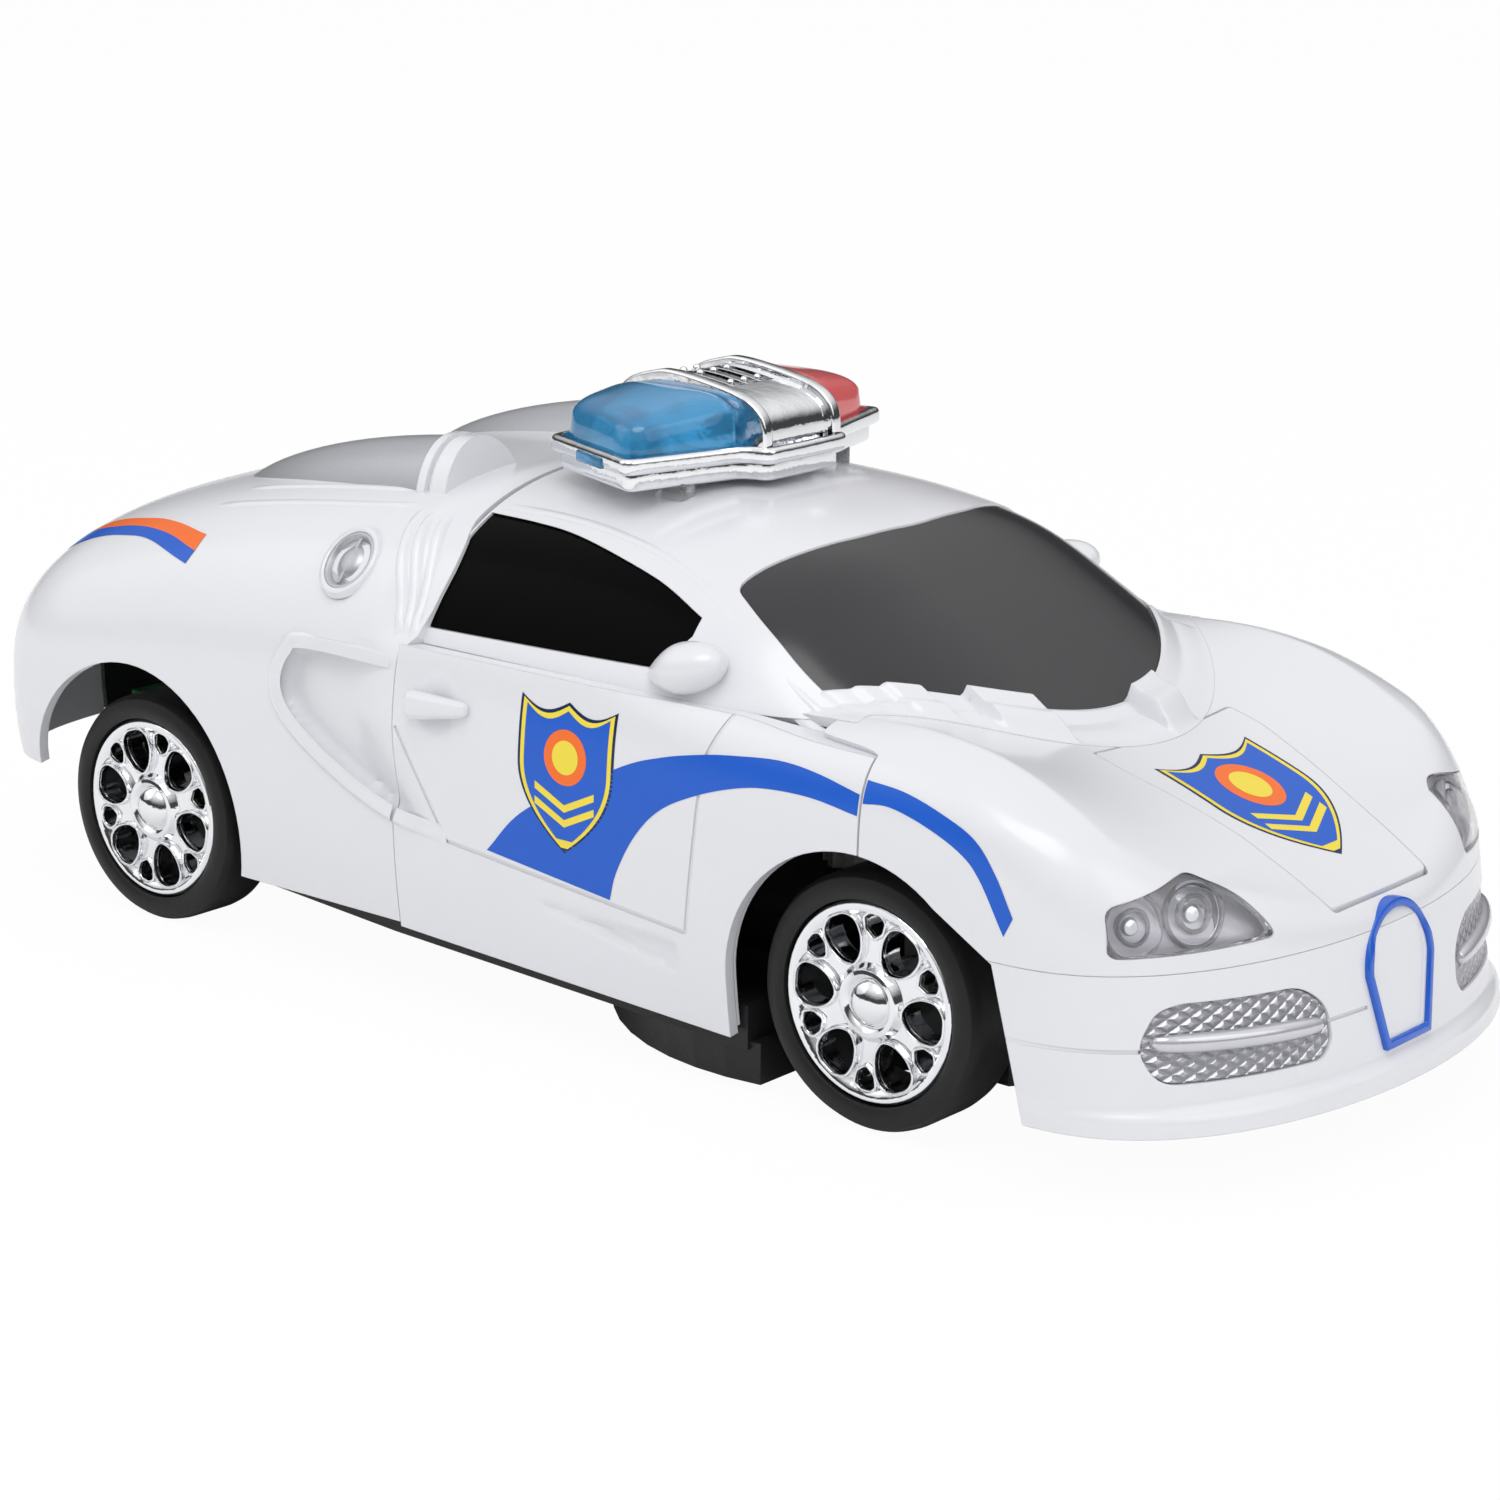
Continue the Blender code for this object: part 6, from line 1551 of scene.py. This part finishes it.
@dataclass
class Decals:
    """Stripes and shields, as thin printed films on the body."""

    shop: Workshop
    film: float = 0.05
    door_high: Line = (
        (4.8, 26.2), (12.2, 33.4), (28.3, 42.0), (35.8, 44.8), (42.7, 46.4), (48.2, 47.2), (55.2, 47.8),
        (61.6, 47.3), (68.6, 46.0),
    )
    door_low: Line = (
        (27.2, 23.7), (28.5, 27.9), (31.8, 33.6), (36.3, 38.0), (42.8, 41.2), (49.4, 43.3), (54.6, 44.1),
        (61.3, 44.2), (68.6, 43.3),
    )
    fender_high: Line = ((69.3, 47.9), (75.3, 47.4), (81.5, 45.8), (86.7, 43.6), (90.1, 39.9), (92.9, 35.0))
    fender_low: Line = ((69.25, 45.0), (73.4, 45.3), (79.1, 44.0), (84.7, 41.7), (87.9, 38.8), (91.7, 32.5))
    rear_high: Line = ((-99.5, 50.0), (-87.8, 56.1), (-76.1, 58.8), (-67.7, 59.6), (-59.4, 59.4))
    rear_middle: Line = (
        (-99.7, 49.7), (-91.6, 54.2), (-83.7, 56.5), (-75.7, 57.9), (-67.5, 58.2), (-59.6, 57.3)
    )
    rear_low: Line = ((-99.9, 49.4), (-86.7, 54.6), (-77.7, 56.5), (-70.5, 56.9), (-60.2, 55.5))
    door_shield: tuple[float, float, float, float] = (19.2, 49.2, 8.6, 20.6)
    hood_shield: tuple[float, float, float, float] = (88.2, 0.0, 10.6, 22.0)

    def on_door(self, x: float, z: float, lift: float = 0.0) -> Vector:
        """Sets a place seen from the side on the left panel."""
        return Vector((x, BODY.panel_y(x, z) + (self.film + lift), z))

    def on_fender(self, x: float, z: float) -> Vector:
        """Sets a place seen from the side on the left fender."""
        return Vector((x, BODY.fender_y(x, z) + self.film, z))

    def on_rear(self, x: float, z: float) -> Vector:
        """Sets a place seen from the side on the left rear shoulder."""
        return Vector((x, BODY.rear_y(x, z) + self.film, z + self.film))

    def door_spot(self, layer: Point) -> Point:
        """A layer of a shield, given as (across, down, lift), set on the left panel."""
        x, top = self.door_shield[:2]

        def point(u: float, v: float) -> Vector:
            """A place of the layer."""
            place = layer(u, v)
            return self.on_door(x + place.x, top - place.y, place.z)

        return point

    def hood_spot(self, layer: Point) -> Point:
        """A layer of a shield, given as (across, down, lift), set on the hood flap."""
        start, middle = self.hood_shield[:2]

        def point(u: float, v: float) -> Vector:
            """A place of the layer."""
            place = layer(u, v)
            x, y = start + place.y, middle + place.x
            return Vector((x, y, BODY.hood_z(x, y) + (self.film + place.z)))

        return point

    def films(self, name: str, point: Point, grid: Grid, finish: Finish, body: str) -> None:
        """A film on the left side and its twin on the right."""
        self.shop.add_both(name + "_left", facing(surface(point, *grid), "y"), finish, body)

    def build(self) -> None:
        """Lays every film."""
        door = strip(drawn(self.door_low), drawn(self.door_high), self.on_door)
        self.films("door_stripe", door, (60, 24), ROYAL, "left_arm")
        fender = strip(drawn(self.fender_low), drawn(self.fender_high), self.on_fender)
        self.films("fender_stripe", fender, (60, 12), ROYAL, "front_half")
        high, middle, low = (drawn(line) for line in (self.rear_high, self.rear_middle, self.rear_low))
        self.films("rear_stripe_orange", strip(middle, high, self.on_rear), (60, 10), ORANGE, "chassis")
        self.films("rear_stripe_blue", strip(low, middle, self.on_rear), (60, 10), ROYAL, "chassis")
        for name, layer, grid, finish in self.shield(*self.door_shield[2:]):
            self.films("door_shield_" + name, self.door_spot(layer), grid, finish, "left_arm")
        for name, layer, grid, finish in self.shield(*self.hood_shield[2:]):
            bm = facing(surface(self.hood_spot(layer), *grid), "z")
            self.shop.add("hood_shield_" + name, bm, finish, "flap")

    @staticmethod
    def shield(half: float, tall: float) -> list[tuple[str, Point, Grid, Finish]]:
        """The layers of a plain shield, as (across, down, lift).

        Args:
            half: Half its width.
            tall: Its height.

        Returns:
            Name, surface, facets and finish of each layer.
        """

        def body(margin: float, lift: float) -> Point:
            """The shield's outline, smaller by a margin."""

            def point(u: float, v: float) -> Vector:
                """A place on the shield."""
                a = 2 * u - 1
                down = mix(margin / tall, 1 - 1.6 * margin / tall, v)
                width = half * (1 - max((down - 0.42) / 0.58, 0.0) ** 2.1) - margin
                scallop = 0.075 * tall * abs(math.sin(math.pi * a)) * (1 - v) ** 3
                return Vector((max(width, 0.02) * a, down * tall + scallop, lift))

            return point

        def disc(radius: float, down: float, lift: float) -> Point:
            """A round spot on the shield."""

            def point(u: float, v: float) -> Vector:
                """A place on the spot."""
                turn, reach = 2 * math.pi * u, radius * v
                return Vector((reach * math.cos(turn), down * tall + reach * math.sin(turn), lift))

            return point

        def chevron(down: float, lift: float) -> Point:
            """A V-shaped bar on the shield."""

            def point(u: float, v: float) -> Vector:
                """A place on the bar."""
                a = 2 * u - 1
                return Vector((half * 0.62 * a, (down + 0.12 * (1 - abs(a)) + 0.05 * (v - 0.5)) * tall, lift))

            return point

        return [
            ("edge", body(0.0, 0.0), (40, 40), NAVY),
            ("border", body(0.45, 0.02), (40, 40), YELLOW),
            ("field", body(1.15, 0.04), (40, 40), ROYAL),
            ("ring", disc(half * 0.44, 0.36, 0.06), (40, 4), ORANGE),
            ("spot", disc(half * 0.27, 0.36, 0.08), (40, 4), YELLOW),
            ("chevron_one", chevron(0.58, 0.06), (24, 2), YELLOW),
            ("chevron_two", chevron(0.68, 0.06), (24, 2), YELLOW),
        ]


@dataclass
class Wheels:
    """Bright rims with two sizes of window, and smooth tyres."""

    shop: Workshop
    face: float = 44.2
    width: float = 11.0
    tyre_radius: float = 17.24
    rim_radius: float = 13.6
    windows: int = 6
    hole: Pair = (-2.0, 9.0)
    lip: Pair = (3.6, 4.2)
    lip_width: float = 0.4
    lip_rise: Pair = (0.9, 0.5)
    ends: tuple[tuple[str, float, float, float], ...] = (
        ("rear", -68.0, 17.24, 12.0), ("front", 68.0, 17.54, 3.0)
    )

    def rim(self) -> Object:
        """One rim about the origin, facing the left side."""
        profile = [
            (0, 6.3), (1.4, 6.15), (2.5, 5.6), (3.0, 5.0), (3.15, 4.8), (3.4, 5.1), (3.9, 5.35),
            (4.5, 5.2), (4.9, 4.6), (5.3, 4.2), (11.4, 4.2), (11.9, 4.6), (12.5, 5.0), (13.1, 5.0),
            (13.5, 4.6), (13.6, 4.0), (13.6, -5.0), (12.2, -5.0), (12.2, 1.2), (4.0, 1.2), (4.0, -5.0),
            (1.8, -5.0), (1.8, 1.9), (0, 1.9),
        ]
        return placed("rim", spun(profile, 72))

    def window(self, index: int) -> tuple[list[Pair], float]:
        """Outline of a window about the rim's centre, and its turn."""
        if index % 2:
            corners = [
                (8.7, 0), (9.7, 1.3), (11.2, 1.6), (11.9, 0.7), (11.9, -0.7), (11.2, -1.6), (9.7, -1.3)
            ]
            return rounded(corners, 0.3, 2), math.pi * index / self.windows
        corners = [
            (5.3, 0), (6.4, 1.75), (8.5, 2.8), (10.7, 2.8), (11.9, 1.4), (11.9, -1.4), (10.7, -2.8),
            (8.5, -2.8), (6.4, -1.75),
        ]
        return rounded(corners, 0.9, 3), math.pi * index / self.windows

    def build(self) -> None:
        """Makes the rim once, then sets rims and tyres at all four corners."""
        holes, lips = [], []
        for index in range(2 * self.windows):
            outline, turn = self.window(index)
            spin = Matrix.Rotation(turn, 4, "Y")
            holes.append(moved(prism(outline, "y", *self.hole), spin))
            low, high = self.lip
            edge = ring(inset(outline, -self.lip_width), outline, "y", low, high + self.lip_rise[index % 2])
            lips.append(moved(softened(edge, 0.18, 2, 50), spin))
        rim = self.rim()
        self.shop.carve(rim, placed("tool", outward(joined(holes))))
        lip = outward(joined(lips))
        lip.from_mesh(rim.data)
        lip.to_mesh(rim.data)
        lip.free()
        for end, x, z, turn in self.ends:
            for side in Side:
                self.wheel(rim.data, end, side, x, z, turn)
        bpy.data.objects.remove(rim)

    def wheel(self, mesh: bpy.types.Mesh, end: str, side: Side, x: float, z: float, turn: float) -> None:
        """One wheel of the car.

        Args:
            mesh: The rim's mesh.
            end: Front or rear.
            side: The car's side.
            x: Place of the axle along the car.
            z: Its height.
            turn: How far the rim has rolled, in degrees.
        """
        y = side.value * (self.face - self.width / 2)
        flip = Matrix.Rotation(math.pi if side is Side.RIGHT else 0.0, 4, "Z")
        place = Matrix.Translation((x, y, z)) @ Matrix.Rotation(math.radians(turn), 4, "Y") @ flip
        bm = bmesh.new()
        bm.from_mesh(mesh)
        body = end + "_wheels"
        self.shop.add(
            f"{end}_rim_{side.word}_bright", moved(bm, place), CHROME, body, f"{end}_rim_{side.word}"
        )
        half, radius = self.width / 2, self.tyre_radius
        profile = [
            (self.rim_radius + 0.1, -half + 0.3), (self.rim_radius + 0.6, -half), (radius - 1.8, -half),
            (radius - 0.7, -half + 0.4), (radius - 0.15, -half + 1.2), (radius, -half + 2.2),
            (radius, half - 2.2), (radius - 0.15, half - 1.2), (radius - 0.7, half - 0.4),
            (radius - 1.8, half), (self.rim_radius + 0.9, half), (self.rim_radius + 0.3, half - 0.5),
            (self.rim_radius + 0.1, half - 1.2), (self.rim_radius + 0.1, -half + 0.3),
        ]
        tyre = moved(spun(profile, 96), Matrix.Translation((x, y, z)))
        self.shop.add(f"{end}_tyre_{side.word}_smooth", tyre, RUBBER, body, f"{end}_tyre_{side.word}")


@dataclass
class LightBar:
    """Roof light bar: bright tray, blue and red lenses, slotted cover and clear feet."""

    shop: Workshop
    plan: Line = ((-9.0, 0.0), (-8.6, 20.4), (12.8, 28.2), (18.2, 9.6), (22.2, 8.8), (22.5, 0.0))
    tray: Pair = (73.4, 78.2)
    lens_top: float = 86.4
    lens_fall: float = 0.16
    lens_curve: float = 0.004
    lens_edge: float = 0.92
    lens_skirt: float = 2.2
    cover_half: float = 8.4
    hoop: float = 1.9
    sunk: float = 0.9
    profile: Line = (
        (-8.4, 76.7), (-7.6, 81.0), (-4.6, 84.8), (0.0, 86.5), (3.6, 86.9), (10.4, 86.1), (16.1, 84.9),
        (19.3, 83.2), (20.7, 80.8), (20.9, 76.7),
    )
    slots: Pair = (-2.6, 11.4)
    slot_pitch: float = 2.9
    feet: tuple[Pair, ...] = ((0.0, 15.0), (12.0, 17.0))

    def build(self) -> None:
        """Makes and dresses the bar."""
        low, high = self.tray
        plan = mirrored(self.plan)
        flange, skirt, pocket = (rounded(inset(plan, margin), 1.8, 6) for margin in (0.0, 1.1, 1.2))
        flange = softened(prism(flange, "z", high - 2.3, high), 0.7, 4, 60)
        skirt = softened(prism(skirt, "z", low, high - 1.8), 0.6, 3, 60)
        tray = self.shop.blank("light_bar_tray_bright", flange)
        self.shop.cut(tray, skirt, "UNION")
        self.shop.cut(tray, prism(pocket, "z", high - 1.4, high + 3))
        self.shop.finish(tray, CHROME, "front_half", "light_bar_tray")
        self.lenses()
        self.cover()
        posts = []
        for x, y in self.feet:
            for side in (-1, 1):
                post = box((x - 2.6, x + 2.6), (side * y - 1.6, side * y + 1.6), (67.0, low + 0.6))
                posts.append(softened(post, 0.4, 2))
        self.shop.add("light_bar_feet_clear", joined(posts), CLEAR, "front_half")

    def lenses(self) -> None:
        """The two coloured lenses: domes that fall towards their outer ends, each with a tab in the tray."""
        near, base = self.cover_half - 2.6, self.tray[1] - 1.3
        half = [(self.plan[1][0], near), *self.plan[1:3], (self.plan[3][0] + 1, near)]
        outline = rounded(inset(half, 1.5), 4.5, 8)
        closed = outline + outline[:1]
        middle = Vector((4.8, 15.0))

        def point(u: float, v: float) -> Vector:
            """A place on the lens, from its crest out and down its skirt."""
            reach = min(v / self.lens_edge, 1.0)
            place = middle.lerp(along(closed, u), reach)
            fall = self.lens_fall * max(place.y - near, 0.0) + self.lens_curve * (place.x - middle.x) ** 2
            crest = self.lens_top - fall
            rim = base + self.lens_skirt
            if v > self.lens_edge:
                return Vector((place.x, place.y, mix(rim, base, (v - self.lens_edge) / (1 - self.lens_edge))))
            return Vector((place.x, place.y, mix(rim, crest, crown(reach, 1.0, 3.6))))

        bm = outward(capped(welded(surface(point, 96, 28))))
        left = self.shop.add("light_bar_lens_left_red", bm, RED_LENS, "front_half", "light_bar_lens_left")
        self.shop.twin(left, "light_bar_lens_right_blue", BLUE_LENS, "front_half", "light_bar_lens_right")
        first, last = (Vector(corner) for corner in self.plan[1:3])
        place = first.lerp(last, 0.55)
        turn = Matrix.Rotation(math.atan2(last.y - first.y, last.x - first.x), 4, "Z")
        tab = softened(box((-3.6, 3.6), (-1.2, 0.35), (-0.9, 0.7)), 0.3, 2)
        moved(tab, Matrix.Translation((place.x, place.y, self.tray[1] - 1.4)) @ turn)
        left = self.shop.add("light_bar_tab_left", tab, RED_LENS, "front_half")
        self.shop.twin(left, "light_bar_tab_right", BLUE_LENS, "front_half")

    def arch(self, grow: float) -> list[Pair]:
        """The cover's outline seen from the side, larger by a distance."""
        return inset(drawn(self.profile), -grow)

    def cover(self) -> None:
        """The bright cover between the lenses: bars in a sunk middle, a round hoop on each side."""
        inner = self.cover_half - self.hoop + 0.3
        made = self.shop.blank("light_bar_cover_bright", prism(self.arch(-self.sunk), "y", -inner, inner))
        slots = []
        for index in range(4):
            y = self.slot_pitch * (index - 1.5)
            slots.append(softened(box(self.slots, (y - 0.8, y + 0.8), (83.8, 90.0)), 0.3, 2))
        self.shop.cut(made, joined(slots))
        self.shop.finish(made, CHROME, "front_half", "light_bar_cover")
        hoops = []
        for side in (-1, 1):
            edges = sorted((side * self.cover_half, side * (self.cover_half - self.hoop)))
            hoops.append(softened(prism(self.arch(0.1), "y", *edges), 0.8, 5, 60))
        for index in range(3):
            for share in (0.1, 0.5, 0.9):
                x, y = mix(*self.slots, share), self.slot_pitch * (index - 1)
                bead = ball((0.6, 0.6, 0.6), 16, 10)
                top = curve(self.profile[1:-1], x) - self.sunk
                hoops.append(moved(bead, Matrix.Translation((x, y, top + 0.05))))
        self.shop.add("light_bar_cover_hoops", joined(hoops), CHROME, "front_half")


@dataclass
class Works:
    """The frame's own solids that stay: floor, drive, power and robot pieces."""

    shop: Workshop

    def build(self) -> None:
        """Gives every solid of the frame its finish by its slot."""
        for part in frame["record"]["subparts"]:
            node = frame["nodes"][part["node"]]
            finish = CAD_FINISHES[Slot(part["material_slot"])]
            for holder in node.material_slots:
                holder.material = self.shop.material(finish)
            if not node.material_slots:
                node.data.materials.append(self.shop.material(finish))


@dataclass
class Studio:
    """Pale floor, soft light and the camera."""

    place: Triple = (354.54, -410.53, 178.62)
    azimuth: float = math.radians(39.869)
    elevation: float = math.radians(15.35)
    roll: float = math.radians(0.457)
    focal_pixels: float = 3859.6
    image_pixels: float = 1500.0
    lamps: tuple[tuple[str, Triple, float, float], ...] = (
        ("key", (0.3, -0.5, 1.1), 0.9, 5.5),
        ("fill", (-0.8, -0.6, 0.6), 1.0, 1.6),
        ("front", (0.95, 0.1, 0.6), 0.8, 1.45),
    )
    ambient: float = 0.66
    horizon: float = 0.2
    fade: float = 0.5
    dusk: float = 0.06
    floor_share: float = 0.96

    def build(self) -> None:
        """Sets up the scene round the car."""
        bpy.context.scene.view_settings.view_transform = "Standard"
        self.camera()
        self.world()
        self.floor()
        for name, spot, size, power in self.lamps:
            lamp = bpy.data.lights.new(name, "AREA")
            lamp.shape = "DISK"
            lamp.size = size
            lamp.energy = power
            holder = bpy.data.objects.new(name + "_lamp", lamp)
            holder.location = spot
            holder.rotation_euler = (-Vector(spot)).to_track_quat("-Z", "Y").to_euler()
            bpy.context.scene.collection.objects.link(holder)

    def camera(self) -> None:
        """The camera at the photograph's angle."""
        az, el, turn = self.azimuth, self.elevation, self.roll
        back = Vector((math.sin(az) * math.cos(el), -math.cos(az) * math.cos(el), math.sin(el)))
        right = Vector((math.cos(az), math.sin(az), 0))
        up = back.cross(right)
        across = right * math.cos(turn) + up * math.sin(turn)
        upright = up * math.cos(turn) - right * math.sin(turn)
        data = bpy.data.cameras.new("camera")
        data.sensor_width = 36.0
        data.lens = self.focal_pixels * data.sensor_width / self.image_pixels
        holder = bpy.data.objects.new("camera", data)
        matrix = Matrix((across, upright, back)).transposed().to_4x4()
        x, y, z = self.place
        matrix.translation = Vector((x - CENTRE_X, y, z)) * MM
        holder.matrix_world = matrix
        bpy.context.scene.collection.objects.link(holder)
        bpy.context.scene.camera = holder

    def world(self) -> None:
        """A white surround that lights the car softly and is dark near the ground in reflections."""
        world = bpy.data.worlds.new("surround")
        shader = Shader(world)
        shader.tree.nodes.clear()
        heading = shader.node("ShaderNodeTexCoord").outputs["Generated"]
        up = Value(shader, shader.node("ShaderNodeSeparateXYZ", None, [heading]).outputs["Z"])
        glow = ((up - self.horizon) / self.fade).math("MAXIMUM", self.dusk).math("MINIMUM", 1.0)
        white = (1, 1, 1, 1)
        soft, mirror, plain = (
            shader.node("ShaderNodeBackground", None, {"Color": white, "Strength": strength}).outputs[0]
            for strength in (self.ambient, glow, 1.0)
        )
        lit = shader.node("ShaderNodeMixShader", None, [shader.rays("Is Glossy Ray"), soft, mirror])
        seen = shader.rays("Is Camera Ray", "Is Transmission Ray")
        whole = shader.node("ShaderNodeMixShader", None, [seen, lit.outputs[0], plain])
        shader.node("ShaderNodeOutputWorld", None, [whole.outputs[0]])
        bpy.context.scene.world = world

    def floor(self) -> None:
        """A pale floor that keeps the shadow."""
        bm = bmesh.new()
        bmesh.ops.create_circle(bm, cap_ends=True, segments=64, radius=4.0)
        holder = placed("floor", bm)
        material = bpy.data.materials.new("pale_floor")
        shader = Shader(material)
        paint = shader.tree.nodes["Principled BSDF"]
        paint.inputs["Base Color"].default_value = (0.95, 0.95, 0.95, 1)
        paint.inputs["Roughness"].default_value = 0.9
        glow = shader.node("ShaderNodeEmission", None, {"Color": (1, 1, 1, 1), "Strength": 1.0})
        share = shader.rays("Is Camera Ray", "Is Transmission Ray") * self.floor_share
        both = shader.node("ShaderNodeMixShader", None, [share, paint.outputs[0], glow.outputs[0]])
        shader.tree.links.new(both.outputs[0], shader.tree.nodes["Material Output"].inputs["Surface"])
        holder.data.materials.append(material)


def main() -> None:
    """Builds the studio, then each sub-assembly in order."""
    logging.basicConfig(level=logging.INFO, format="%(message)s")
    Studio().build()
    shop = Workshop()
    Works(shop).build()
    for assembly in (RearBody, Cabin, FrontBody, Doors, Wheels, LightBar, Decals):
        assembly(shop).build()


if __name__ == "__main__":
    main()
    bpy.context.view_layer.update()
